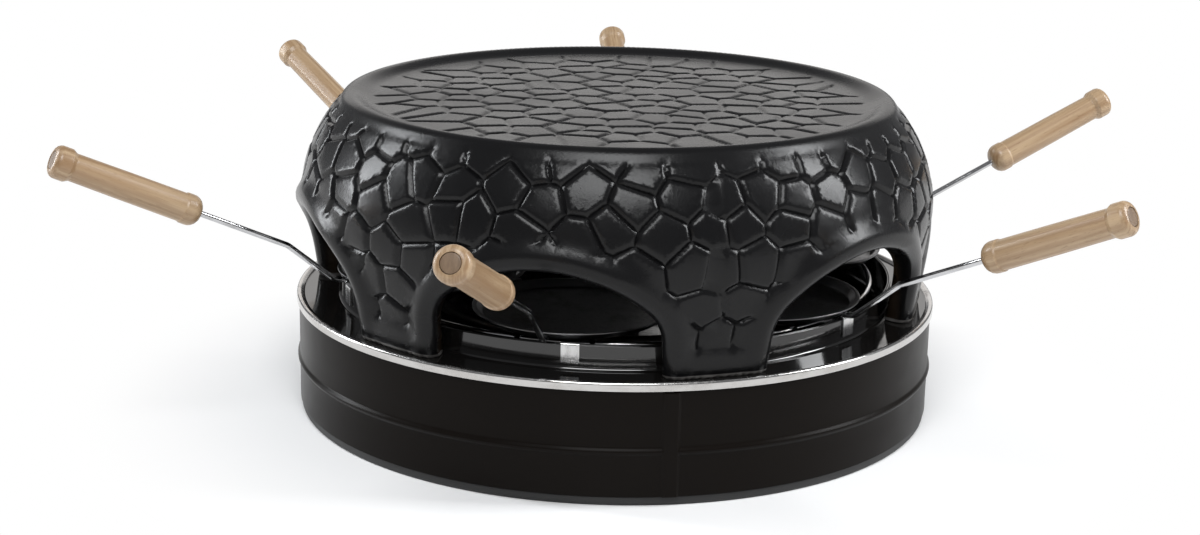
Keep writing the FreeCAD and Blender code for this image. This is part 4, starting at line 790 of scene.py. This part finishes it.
def cell_polygon(seed, others, inset):
    """The convex cell around a seed, drawn in by an inset."""
    reach = 3 * CELL_SIZE
    polygon = seed + reach * np.array([(-1, -1), (1, -1), (1, 1), (-1, 1)])
    for other in others:
        apart = other - seed
        distance = math.hypot(*apart)
        normal = apart / distance
        polygon = clip_polygon(polygon, normal, normal @ (seed + other) / 2 - inset)
        if len(polygon) < 3:
            return None
    return polygon


def sampled_loop(polygon, spacing):
    """Points along a closed polygon, with its corners."""
    spots = []
    for here, after in zip(polygon, np.roll(polygon, -1, axis=0)):
        count = max(1, int(round(np.linalg.norm(after - here) / spacing)))
        for share in np.arange(count) / count:
            spots.append(here + (after - here) * share)
    return spots


class Cobbles:
    """Irregular cells around jittered seeds, with a groove along each border."""

    def __init__(self, seeds, copies, seed_number):
        self.own = seeds
        self.all = np.concatenate([seeds] + copies)
        draw = random.Random(seed_number)
        tilts = np.array([(draw.gauss(0, 1), draw.gauss(0, 1), draw.uniform(-1, 1)) for seed in seeds])
        self.tilts = np.concatenate([tilts] * (1 + len(copies)))

    def near(self, seed):
        apart = self.all - seed
        distance = np.hypot(apart[:, 0], apart[:, 1])
        order = np.argsort(distance)
        return self.all[order[(distance[order] > 1e-6) & (distance[order] < 3 * CELL_SIZE)]]

    def relief(self, points):
        """Height of the cobbles at each point."""
        heights = np.zeros(len(points))
        for start in range(0, len(points), RELIEF_BATCH):
            part = points[start:start + RELIEF_BATCH]
            square = ((part[:, None, :] - self.all[None, :, :]) ** 2).sum(2)
            order = np.argpartition(square, RELIEF_SEEDS, axis=1)[:, :RELIEF_SEEDS]
            close = np.take_along_axis(square, order, 1)
            first = np.argmin(close, axis=1)
            rows = np.arange(len(part))
            own = order[rows, first]
            gaps = np.linalg.norm(self.all[order] - self.all[own][:, None, :], axis=2)
            gaps[rows, first] = 1
            border = (close - close[rows, first][:, None]) / (2 * gaps)
            border[rows, first] = 1e3
            width = np.maximum(border.min(axis=1), 0)
            groove = -GROOVE_DEPTH * np.clip(1 - width / GROOVE_HALF, 0, 1) ** GROOVE_CURVE
            pillow = PILLOW_RISE * (1 - np.exp(-width / PILLOW_REACH))
            lip = LIP_RISE * np.exp(-((width - LIP_PLACE) / LIP_WIDTH) ** 2)
            tilt = self.tilts[own]
            offset = part - self.all[own]
            lean = CELL_TILT * (offset[:, 0] * tilt[:, 0] + offset[:, 1] * tilt[:, 1])
            lean = lean + CELL_STEP * tilt[:, 2]
            lean = lean * np.clip(width / GROOVE_HALF, 0, 1)
            heights[start:start + RELIEF_BATCH] = groove + pillow + lip + lean
        return heights


class Scatter:
    """Points of a flat mesh with a least gap between them, and edges that the mesh has to keep."""

    BIN = 4.0

    def __init__(self):
        self.points = []
        self.edges = []
        self.grid = {}

    def add(self, point, gap):
        """The number of the new point, or of the point that is already there."""
        column = int(math.floor(point[0] / self.BIN))
        row = int(math.floor(point[1] / self.BIN))
        best = None
        for i in (column - 1, column, column + 1):
            for j in (row - 1, row, row + 1):
                for index in self.grid.get((i, j), ()):
                    other = self.points[index]
                    distance = math.hypot(other[0] - point[0], other[1] - point[1])
                    if distance < gap and (best is None or distance < best[0]):
                        best = (distance, index)
        if best:
            return best[1]
        self.points.append((float(point[0]), float(point[1])))
        self.grid.setdefault((column, row), []).append(len(self.points) - 1)
        return len(self.points) - 1

    def add_all(self, points, gap):
        return [self.add(point, gap) for point in points]

    def run(self, points, gap):
        """Adds a line of points that the mesh keeps as edges."""
        numbers = self.add_all(points, gap)
        for a, b in zip(numbers, numbers[1:]):
            if a != b:
                self.edges.append((a, b))

    def triangles(self):
        spots = [Vector(point) for point in self.points]
        result = delaunay_2d_cdt(spots, self.edges, [], 0, 1e-4)
        return np.array([tuple(spot) for spot in result[0]]), [tuple(face) for face in result[2]]


def jittered_rows(width, low, high, periodic, draw):
    """Seeds in staggered rows, each moved a little."""
    count = int(round(width / CELL_SIZE))
    step = width / count
    rise = step * ROW_RISE
    seeds = []
    for row in range(int((high - low) / rise) + 1):
        for column in range(count + (0 if periodic else 1)):
            x = (column + 0.5 * (row % 2)) * step + draw.uniform(-1, 1) * CELL_JITTER * step
            y = low + row * rise + draw.uniform(-1, 1) * CELL_JITTER * rise
            seeds.append((x, y))
    return np.array(seeds)


def groove_points(scatter, cobbles, inside):
    """Adds the points of every cell: its border as edges to keep, then rows further in."""
    for seed in cobbles.own:
        polygon = cell_polygon(seed, cobbles.near(seed), 0.0)
        if polygon is None:
            continue
        loop = sampled_loop(polygon, BORDER_SPACING)
        loop.append(loop[0])
        part = []
        for point, flag in zip(loop, inside(np.array(loop))):
            if flag:
                part.append(point)
            else:
                scatter.run(part, BORDER_GAP)
                part = []
        scatter.run(part, BORDER_GAP)
    for inset, spacing in INSET_ROWS:
        for seed in cobbles.own:
            polygon = cell_polygon(seed, cobbles.near(seed), inset)
            if polygon is not None:
                loop = np.array(sampled_loop(polygon, spacing))
                scatter.add_all(loop[inside(loop)], INSET_GAP)


def pillar_angles(half_angle):
    """Angles across the pillar between two arches, from one arch's edge to the next arch's."""
    return np.linspace(half_angle, math.radians(60) - half_angle, PILLAR_STEPS)


def within_turn(angles):
    """The angles, and those one turn earlier, that lie within the turn that ends at the seam."""
    return [spot for angle in angles for spot in (angle, angle - 2 * math.pi)
            if SEAM_BEFORE - 1e-8 <= spot <= SEAM + 1e-8]


def ring_points(radius, angles):
    """Points of a level ring, seen from above."""
    return [(radius * math.sin(angle), -radius * math.cos(angle)) for angle in angles]


def on_wall(s, t, height):
    """Points of the dome's skin at a height over its line."""
    angle = s / STRETCH
    radius = along_profile(t, "r") + height * along_profile(t, "nr")
    z = along_profile(t, "z") + height * along_profile(t, "nz")
    return np.stack([radius * np.sin(angle), -radius * np.cos(angle), z], 1)


def plain_wall(line):
    """Points of the dome's skin along a line where there are no cobbles."""
    s, t = line[:, 0], line[:, 1]
    stand, rolled = raised(s, t)
    return on_wall(s, t, stand - rolled)


def wall_arch_lines():
    """The arch's outline and the rows around it on the flattened wall, by their margin."""
    lines = {}
    for margin in (0.0,) + EDGE_ROWS + ROLL_ROWS + FALL_ROWS:
        line = arch_line(margin, DOME_FOOT)
        t = length_at(line[:, 1])
        angle = np.arcsin(line[:, 0] / along_profile(t, "r"))
        lines[margin] = np.stack([angle * STRETCH, t], 1)
    return lines


def outer_wall():
    """The cobbled wall with plinth, bands and ring, up to where the top plate begins."""
    start = SEAM_BEFORE * STRETCH
    end = SEAM * STRETCH
    top = JOIN_LENGTH
    seeds = jittered_rows(AROUND, *WALL_COBBLES, True, random.Random(WALL_DRAW)) + np.array([start, 0])
    shift = np.array([AROUND, 0])
    cobbles = Cobbles(seeds, [seeds - shift, seeds + shift], WALL_TILT_DRAW)
    scatter = Scatter()
    lines = wall_arch_lines()
    pillar = pillar_angles(lines[0.0][0, 0] / STRETCH)

    def inside(points):
        s, t = points[:, 0], points[:, 1]
        return (s > start + 0.7) & (s < end - 0.7) & (t > 0.3) & (t < top - 0.8)

    def cobbled(points):
        s, t = points[:, 0], points[:, 1]
        return inside(points) & (cobble_mask(s, t) > 0.03) & (outer_arch_distance(s, t) > 3)

    def around_arches(margins, gap):
        for margin in margins:
            for middle in ARCH_MIDDLES:
                line = lines[margin] + np.array([middle * STRETCH, 0])
                scatter.add_all(line[inside(line)], gap)

    for side in (start, end):
        heights = np.concatenate([np.arange(0, top - 1.5, 2.8), [top]])
        scatter.run([(side, t) for t in heights], LINE_GAP)
    scatter.run([(s, top) for s in np.linspace(start, end, RING_STEPS + 1)], LINE_GAP)
    for middle in ARCH_MIDDLES:
        scatter.add_all([(spot * STRETCH, 0.0) for spot in within_turn(middle + pillar)], LINE_GAP)
    for middle in ARCH_MIDDLES:
        scatter.run(lines[0.0] + np.array([middle * STRETCH, 0]), LINE_GAP)
    around_arches(EDGE_ROWS, EDGE_GAP)
    around_arches(ROLL_ROWS, ROLL_GAP)
    groove_points(scatter, cobbles, cobbled)
    around_arches(FALL_ROWS, FALL_GAP)
    for rows, gap in ((FOOT_EDGE_ROWS, FOOT_EDGE_GAP), (FOOT_ROWS, FOOT_GAP)):
        for t in rows:
            along = np.arange(start, end, FOOT_SPACING)
            row = np.stack([along, np.full(len(along), t)], 1)
            scatter.add_all(row[inside(row) & (outer_arch_distance(row[:, 0], row[:, 1]) > 0.4)], gap)
    for index, t in enumerate(np.arange(length_at(RING_LOW), top - 0.5, RING_SPACING)):
        along = np.linspace(start, end, RING_STEPS + 1) + (index % 2) * 0.5 * AROUND / RING_STEPS
        row = np.stack([along, np.full(len(along), t)], 1)
        scatter.add_all(row[inside(row)], RING_GAP)

    flat, faces = scatter.triangles()
    middles = flat[np.array(faces)].mean(axis=1)
    outside = outer_arch_distance(middles[:, 0], middles[:, 1]) > 0
    faces = [face for face, good in zip(faces, outside) if good]
    s, t = flat[:, 0], flat[:, 1]
    stand, rolled = raised(s, t)
    points = on_wall(s, t, stand - rolled + cobble_mask(s, t) * cobbles.relief(flat))
    outline = [plain_wall(lines[0.0] + np.array([middle * STRETCH, 0])) for middle in ARCH_MIDDLES]
    feet = [plain_wall(np.stack([(middle + pillar) * STRETCH, np.zeros(len(pillar))], 1))
            for middle in ARCH_MIDDLES]
    return points, faces, outline, feet


def top_plate():
    """The sunk, cobbled plate inside the ring."""
    reach = PLATE_COBBLES + CELL_SIZE
    seeds = jittered_rows(2 * reach, -reach, reach, False, random.Random(PLATE_DRAW)) - np.array([reach, 0])
    seeds = seeds[np.hypot(seeds[:, 0], seeds[:, 1]) < PLATE_SEEDS]
    cobbles = Cobbles(seeds, [], PLATE_TILT_DRAW)
    scatter = Scatter()

    def inside(points):
        return np.hypot(points[:, 0], points[:, 1]) < PLATE_JOIN - 0.8

    angles = np.linspace(SEAM_BEFORE, SEAM, RING_STEPS + 1)[:-1]
    scatter.add_all(ring_points(PLATE_JOIN, angles), INNER_LINE_GAP)
    groove_points(scatter, cobbles, inside)
    angles = np.linspace(0, 2 * math.pi, RING_STEPS, endpoint=False)
    for radius in PLATE_ROWS:
        scatter.add_all(ring_points(radius, angles), PLATE_GAP)
    flat, faces = scatter.triangles()
    radius = np.hypot(flat[:, 0], flat[:, 1])
    level = np.interp(-radius, -PROFILE["r"][CREST_INDEX:], PROFILE["z"][CREST_INDEX:])
    mask = smoothstep(PLATE_JOIN, PLATE_JOIN - PLATE_FADE, radius)
    z = level + mask * PLATE_RELIEF * (cobbles.relief(flat) - PILLOW_RISE)
    return np.stack([flat[:, 0], flat[:, 1], z], 1), faces


def inner_profile():
    """The inner line of the dome: radius and height."""
    line = [(INNER_FOOT_RADIUS, DOME_FOOT), (INNER_WALL_RADIUS, WALL_TOP)]
    end = math.asin((ROOF_UNDER - WALL_TOP) / INNER_SHOULDER)
    for angle in np.linspace(0, end, 30)[1:]:
        line.append((SHOULDER_CENTRE + INNER_SHOULDER * math.cos(angle),
                     WALL_TOP + INNER_SHOULDER * math.sin(angle)))
    return np.array(line)


def inner_wall():
    """The plain inside of the dome, with the same arch points as the outside."""
    profile = inner_profile()
    scatter = Scatter()
    scale = INNER_FOOT_RADIUS

    def reach(z):
        return np.interp(z, profile[:, 1], profile[:, 0])

    def place(angle, z):
        radius = reach(z)
        return np.stack([radius * np.sin(angle), -radius * np.cos(angle), z], -1)

    line = arch_line(0.0, DOME_FOOT)
    line_angle = np.arcsin(line[:, 0] / reach(line[:, 1]))
    pillar = pillar_angles(line_angle[0])
    heights = np.concatenate([np.linspace(DOME_FOOT, WALL_TOP, 12), profile[2::3, 1], [ROOF_UNDER]])
    heights = np.unique(np.round(heights, 4))
    around = np.linspace(SEAM_BEFORE, SEAM, INNER_STEPS + 1)
    for angle in (SEAM_BEFORE, SEAM):
        scatter.run([(angle * scale, z) for z in heights], INNER_LINE_GAP)
    scatter.run([(angle * scale, ROOF_UNDER) for angle in around], INNER_LINE_GAP)
    outline = []
    feet = []
    for middle in ARCH_MIDDLES:
        scatter.run([((middle + a) * scale, z) for a, z in zip(line_angle, line[:, 1])], INNER_LINE_GAP)
        outline.append(place(middle + line_angle, line[:, 1]))
        feet.append(place(middle + pillar, np.full(len(pillar), DOME_FOOT)))
        spots = within_turn(middle + pillar)
        scatter.add_all([(angle * scale, DOME_FOOT) for angle in spots], INNER_LINE_GAP)
    for z in heights[1:-1]:
        for angle in around[1:-1]:
            u = reach(z) * math.sin(nearest_arch(angle))
            if arch_distance(np.array(u), np.array(z)) > INNER_GAP:
                scatter.add((angle * scale, z), INNER_GAP)
    flat, faces = scatter.triangles()
    middles = flat[np.array(faces)].mean(axis=1)
    across = reach(middles[:, 1]) * np.sin(nearest_arch(middles[:, 0] / scale))
    good = arch_distance(across, middles[:, 1]) > 0
    faces = [face for face, flag in zip(faces, good) if flag]
    rim = [place(np.array(angle), np.array(ROOF_UNDER)) for angle in around[:-1]]
    return place(flat[:, 0] / scale, flat[:, 1]), faces, outline, feet, np.array(rim)


def strip(rows):
    """Faces between rows of points of equal number, as points and faces."""
    count = len(rows[0])
    faces = []
    for j in range(len(rows) - 1):
        for i in range(count - 1):
            a = j * count + i
            faces.append((a, a + 1, a + count + 1, a + count))
    return np.concatenate(rows), faces


def between(first, last, shares):
    """Rows of points part of the way from a first row to a last one."""
    return [first + (last - first) * share for share in shares]


def dome_casting():
    """The whole dome as one closed skin."""
    parts = []
    points, faces, outer_lines, outer_feet = outer_wall()
    parts.append((points, faces))
    parts.append(top_plate())
    points, faces, inner_lines, inner_feet, rim = inner_wall()
    parts.append((points, faces))
    for outside, inside in list(zip(outer_lines, inner_lines)) + list(zip(outer_feet, inner_feet)):
        parts.append(strip(between(outside, inside, (0, 0.35, 0.7, 1))))
    closed = np.concatenate([rim, rim[:1]])
    middle = np.array([0, 0, ROOF_UNDER])
    parts.append(strip(between(closed, middle, (0, 0.3, 0.6, 0.85))))
    cap = closed[:-1] + (middle - closed[:-1]) * 0.85
    parts.append((cap, [tuple(range(len(cap)))]))
    all_points = []
    all_faces = []
    for points, faces in parts:
        offset = sum(len(part) for part in all_points)
        all_points.append(points)
        all_faces += [tuple(index + offset for index in face) for face in faces]
    casting = mesh_object("dome_casting", np.concatenate(all_points), all_faces)
    return finish_mesh(casting, sharp=70)


dome = dome_casting()
dress(dome, "dome_glaze")
join(dome, "dome", "dome_glaze", "dome_roof", "dome_pillars")


# Base: foot, drum, tray and dish

FOOT_RING = [(185.7, 0, 1.2), (197.7, 0, 1.8), (197.7, 5.5, 0.8), (185.7, 5.5, 0.6)]
TRAY = [
    (200.0, 67.3, 0.5), (200.0, 72.5, 1.5), (197.5, 72.5, 1.0), (195.0, 70.5, 1.2), (173.0, 70.5, 2.0),
    (173.0, 85.0, 0.5), (171.8, 85.0, 0.5), (171.8, 69.3, 0.5), (198.8, 69.3, 0.4), (198.8, 67.3, 0.5)]
DISH = [
    (24.0, 60.2, 0), (171.65, 60.2, 7.0), (171.65, 85.0, 0.35), (170.85, 85.0, 0.35), (170.85, 61.0, 6.2),
    (24.0, 61.0, 0)]
DRUM_RADIUS = 198.5
DRUM_SHEET = 1.0
DRUM_LOW = 5.5
DRUM_HIGH = 69.3
DRUM_EDGE = 0.4
LEVELS_BELOW = (11.5, 20.5)
LEVELS_ABOVE = (44.0, 56.0)
BEAD_LEVEL = 32.0
BEAD_HALF = 3.0
BEAD_RISE = 1.4
SEAM_AZIMUTH = 21.5
SEAM_HALF = 4.5
SEAM_SLOPE = 1.1
SEAM_RISE = 1.5
SEAM_TOP = 66.9


def drum_wall():
    """The rolled wall with its bead and its lock seam."""
    inner = DRUM_RADIUS - DRUM_SHEET
    bead = [(DRUM_RADIUS + BEAD_RISE * math.cos(share * math.pi / 2) ** 2,
             BEAD_LEVEL + share * BEAD_HALF)
            for share in np.linspace(-1, 1, 17)]
    outline = [(inner, DRUM_LOW)]
    foot = [(inner, DRUM_LOW, 0), (DRUM_RADIUS, DRUM_LOW, DRUM_EDGE), (DRUM_RADIUS, BEAD_LEVEL, 0)]
    outline += rounded(foot)[1:-1]
    outline += [(DRUM_RADIUS, level) for level in LEVELS_BELOW] + bead
    outline += [(DRUM_RADIUS, level) for level in LEVELS_ABOVE + (SEAM_TOP - 1, SEAM_TOP, DRUM_HIGH)]
    outline += [(inner, DRUM_HIGH), (inner, DRUM_LOW)]
    seam = math.radians(SEAM_AZIMUTH)
    near = np.linspace(-1, 1, 41) * (SEAM_HALF + 2) / DRUM_RADIUS
    angles = np.unique(np.round(np.concatenate([np.linspace(0, 2 * math.pi, 361), seam + near]), 6))
    off = np.abs(angles - seam) * DRUM_RADIUS
    lift = SEAM_RISE * smoothstep(SEAM_HALF + SEAM_SLOPE, SEAM_HALF - SEAM_SLOPE, off)
    rows = []
    for radius, level in outline:
        lifted = np.full(len(angles), radius)
        if radius > inner + 0.5 * DRUM_SHEET and level < SEAM_TOP:
            lifted = np.maximum(lifted, DRUM_RADIUS + lift)
        height = np.full(len(angles), level)
        rows.append(np.stack([lifted * np.sin(angles), -lifted * np.cos(angles), height], 1))
    piece = mesh_object("drum_shell", *strip(rows))
    dress(piece, "drum_paint")
    return finish_mesh(piece)


join(turned("foot_band", FOOT_RING, "foot_black"), "base", "foot_black", "foot_ring")
join(drum_wall(), "base", "drum_paint", "drum_wall")
join(turned("tray_pressing", TRAY, "tray_enamel", 384), "base", "polished_steel", "tray")
join(turned("dish_pressing", DISH, "tray_enamel", 256), "base", "polished_steel", "heater_dish")


# Rack: rings, rails and the strap clips that hold it

RACK_WIRE = 2.0
RACK_STEPS = 128
RACK_RINGS = (160.0, 74.0)
RING_LEVEL = 82.0
RAIL_LEVEL = 84.6
RAIL_ACROSS = 22.0
RAIL_NEAR = 67.65
RAIL_FAR = 161.5
CLIP_LINE = [(173.65, 74.65), (173.65, 85.65), (170.2, 85.65), (170.2, 79.5), (157.0, 79.5)]
CLIP_THICKNESS = 1.0
CLIP_WIDTH = 10.5
CLIP_BEND = 0.9
CLIP_OFFSET = 4.0


def around_z(azimuth, across, ahead, level):
    """A point given by its distances across and ahead in a direction."""
    angle = math.radians(azimuth)
    return (across * math.cos(angle) + ahead * math.sin(angle),
            across * math.sin(angle) - ahead * math.cos(angle), level)


def rack_rings():
    """The rack's two round wires."""
    points = []
    edges = []
    for radius in RACK_RINGS:
        start = len(points)
        angles = np.linspace(0, 360, RACK_STEPS + 1)[:-1]
        points += [around_z(angle, 0, radius, RING_LEVEL) for angle in angles]
        edges += [(start + a, start + b) for a, b in line_edges(RACK_STEPS, True)]
    return shaped("rack_ring_wires", BENT_WIRE, points, edges, "rack_chrome", Wire_Radius=RACK_WIRE * MM)


def rack_rails():
    """Two straight rails under each pan."""
    points = []
    for azimuth in ARCH_AZIMUTHS:
        for across in (-RAIL_ACROSS, RAIL_ACROSS):
            points += [around_z(azimuth, across, ahead, RAIL_LEVEL) for ahead in (RAIL_NEAR, RAIL_FAR)]
    edges = [(index, index + 1) for index in range(0, len(points), 2)]
    return shaped("rack_rail_wires", BENT_WIRE, points, edges, "rack_chrome", Wire_Radius=RACK_WIRE * MM)


def rack_clips():
    """One bent strap per arch, over the tray's upstand."""
    points = [(distance, 0, level) for distance, level in CLIP_LINE]
    return shaped(
        "strap_clips", RING_OF_STRAPS, points, line_edges(len(points), False), "clip_steel",
        Thickness=CLIP_THICKNESS * MM, Width=CLIP_WIDTH * MM, Bend_Radius=CLIP_BEND * MM,
        Count=len(ARCH_AZIMUTHS), Step=2 * math.pi / len(ARCH_AZIMUTHS), Start=math.radians(CLIP_OFFSET - 90))


join(rack_rings(), "base", "rack_chrome", "rack_rings")
join(rack_rails(), "base", "rack_chrome", "rack_rails")
join(rack_clips(), "base", "clip_steel", "rack_clips")


# Spatulas: pan, rod, grip and the plug in the grip's end

PAN_CIRCLE = 118.5
PAN = [
    (0, 86.9, 0), (52.5, 86.9, 1.6), (56.0, 91.1, 0.6), (58.0, 91.1, 0.4), (58.0, 92.1, 0.4),
    (55.5, 92.1, 0.9), (52.0, 87.9, 1.6), (0, 87.9, 0)]
ROD_LINE = [(55.8, 89.1), (63.0, 89.1), (92.0, 113.4), (163.14, 146.12)]
ROD_RADIUS = 1.8
ROD_BEND = 9.0
GRIP_SPOT = (144.97, 137.76)
GRIP_SLOPE = 24.7
GRIP = [
    (0, 0, 0), (9.3, 0, 6.6), (9.3, 10.4, 0.5), (8.7, 11.5, 0.7), (8.55, 46.0, 0), (8.25, 79.6, 1.4),
    (9.8, 82.4, 1.2), (9.8, 92.0, 4.2), (5.6, 92.0, 0.25), (5.6, 88.4, 0), (0, 88.4, 0)]
PLUG = [(0, 88.5, 0), (5.35, 88.5, 0), (5.35, 91.8, 0.5), (0, 91.9, 0)]
GRAIN_SHIFT = (0.11, 0.07, 0.31)


def spatula_frame(azimuth, turn):
    """From a spatula's own frame, with its pan in the middle and its grip towards -Y, to the oven's."""
    return (Matrix.Rotation(math.radians(azimuth), 4, "Z") @ Matrix.Translation((0, -PAN_CIRCLE * MM, 0))
            @ Matrix.Rotation(math.radians(turn), 4, "Z"))


def grain_along(piece, number):
    """Keeps each point's place along and across a turned grip, apart from the other grips."""
    places = np.empty(3 * len(piece.data.vertices))
    piece.data.vertices.foreach_get("co", places)
    places = places.reshape(-1, 3) + np.array(GRAIN_SHIFT) * number
    grain = piece.data.attributes.new("grain", "FLOAT_VECTOR", "POINT")
    grain.data.foreach_set("vector", places.ravel())


def spatula(number, side, azimuth, turn):
    """One spatula's four pieces."""
    body = "spatula_" + side
    stand = spatula_frame(azimuth, turn)
    on_rod = stand @ Matrix.Translation((0, -GRIP_SPOT[0] * MM, GRIP_SPOT[1] * MM))
    on_rod = on_rod @ Matrix.Rotation(math.radians(90 - GRIP_SLOPE), 4, "X")
    pan = turned("pan_pressing_" + side, PAN, "pan_steel", 160)
    rod = shaped("rod_wire_" + side, BENT_WIRE, [(0, -ahead, level) for ahead, level in ROD_LINE],
                 line_edges(len(ROD_LINE), False), "rod_chrome", Wire_Radius=ROD_RADIUS * MM,
                 Bend_Radius=ROD_BEND * MM)
    grip = turned("grip_turning_" + side, GRIP, "grip_beech", 96)
    plug = turned("grip_plug_" + side, PLUG, "grip_plug", 64)
    for piece in (grip, plug):
        grain_along(piece, number)
        piece.data.transform(on_rod)
    for piece in (pan, rod):
        piece.data.transform(stand)
    join(pan, body, "pan_steel", "pan_" + side)
    join(rod, body, "rod_chrome", "rod_" + side)
    join(grip, body, "grip_beech", "grip_" + side)
    join(plug, body, "grip_beech")


for number, (side, (azimuth, turn)) in enumerate(SPATULAS.items()):
    spatula(number, side, azimuth, turn)


# Camera at the photographed angle

CAMERA_TURN = 12.0
CAMERA_DISTANCE = 1.40086
CAMERA_ELEVATION = 18.604
CAMERA_PAN = 0.4035
CAMERA_TILT = 3.276
CAMERA_ROLL = -1.304
CAMERA_LENS = 65.19
CAMERA_SENSOR = 36.0
CAMERA_START = 0.05


def turn_matrix(axis, degrees):
    """A turn about one axis."""
    return Matrix.Rotation(math.radians(degrees), 3, axis)


def add_camera():
    """The camera that was fitted to the photograph."""
    elevation = math.radians(CAMERA_ELEVATION)
    place = Vector((0, -math.cos(elevation), math.sin(elevation))) * CAMERA_DISTANCE
    forward = -place.normalized()
    right = Vector((1, 0, 0))
    up = right.cross(forward)
    rows = Matrix((right, up, forward))
    rows = turn_matrix("Z", CAMERA_ROLL) @ turn_matrix("X", CAMERA_TILT) @ turn_matrix("Y", CAMERA_PAN) @ rows
    spin = turn_matrix("Z", CAMERA_TURN)
    axes = [spin @ row for row in (rows[0], rows[1], -rows[2])]
    data = bpy.data.cameras.new("photo_camera")
    data.lens = CAMERA_LENS
    data.sensor_width = CAMERA_SENSOR
    data.clip_start = CAMERA_START
    camera = bpy.data.objects.new("photo_camera", data)
    camera.matrix_world = Matrix.Translation(spin @ place) @ Matrix(axes).transposed().to_4x4()
    bpy.context.scene.collection.objects.link(camera)
    bpy.context.scene.camera = camera


add_camera()


# Studio


FLOOR_HALF = 9000
FLOOR_NEAR = 0.20
FLOOR_FAR = 0.34
FLOOR_WHITE = (0.95, 0.95, 0.95)
AIR_COLOUR = (0.96, 0.97, 1.0)
AIR_STRENGTH = 0.20
LAMP_AIM = (0, 0, 0.1)

# Place seen from the camera's side, width and height, brightness, colour
LAMPS = {
    "front_soft_box": ((-0.1, -1.15, 1.6), (0.85, 0.95), 9.0, (0.98, 0.99, 1.0)),
    "left_soft_box": ((-1.7, 0.4, 0.75), (0.3, 1.3), 18.0, (0.95, 0.975, 1.0)),
    "right_soft_box": ((1.6, -0.1, 1.1), (0.4, 1.1), 19.0, (0.97, 0.985, 1.0)),
    "back_soft_box": ((0.0, 2.3, 0.75), (2.6, 0.8), 0.8, (1.0, 0.97, 0.94)),
}


def add_floor():
    """A white floor that takes the shadow near the oven and stays white further out."""
    corners = [(x * FLOOR_HALF, y * FLOOR_HALF, 0) for x, y in ((-1, -1), (1, -1), (1, 1), (-1, 1))]
    floor = mesh_object("studio_floor", corners, [(0, 1, 2, 3)])
    finish = Finish("studio_floor")
    make = finish.make
    finish.set(Base_Color=paint(FLOOR_WHITE), Roughness=0.9, Specular_IOR_Level=0.1)
    away = make.add("ShaderNodeVectorMath", {"operation": "LENGTH"}, i0=make.coordinates()).outputs["Value"]
    far = make.remap(away, FLOOR_NEAR, FLOOR_FAR, 0.0, 1.0)
    path = make.add("ShaderNodeLightPath").outputs
    seen = make.math("MAXIMUM", path["Is Glossy Ray"], path["Is Transmission Ray"])
    seen = make.math("MAXIMUM", path["Is Camera Ray"], seen)
    white = make.add("ShaderNodeEmission", Color=(1, 1, 1, 1), Strength=1.0).outputs[0]
    both = make.add("ShaderNodeMixShader", i0=make.math("MULTIPLY", far, seen),
                    i1=finish.shader.outputs[0], i2=white)
    make.put(finish.material.node_tree.nodes["Material Output"].inputs["Surface"], both.outputs[0])
    floor.data.materials.append(finish.material)


def add_lamp(name, place, size, brightness, colour):
    """A soft box that faces the oven."""
    data = bpy.data.lights.new(name, "AREA")
    data.shape = "RECTANGLE"
    data.size, data.size_y = size
    data.energy = brightness * math.pi * size[0] * size[1]
    data.color = colour
    lamp = bpy.data.objects.new(name, data)
    lamp.location = turn_matrix("Z", CAMERA_TURN) @ Vector(place)
    lamp.rotation_euler = (Vector(LAMP_AIM) - lamp.location).to_track_quat("-Z", "Y").to_euler()
    bpy.context.scene.collection.objects.link(lamp)


def add_world():
    """Even, weak light from all sides."""
    world = bpy.data.worlds.new("studio_air")
    world.use_nodes = True
    back = world.node_tree.nodes["Background"]
    back.inputs["Color"].default_value = paint(AIR_COLOUR)
    back.inputs["Strength"].default_value = AIR_STRENGTH
    bpy.context.scene.world = world


add_floor()
add_world()
for name, lamp in LAMPS.items():
    add_lamp(name, *lamp)
bpy.context.scene.view_settings.view_transform = "Standard"
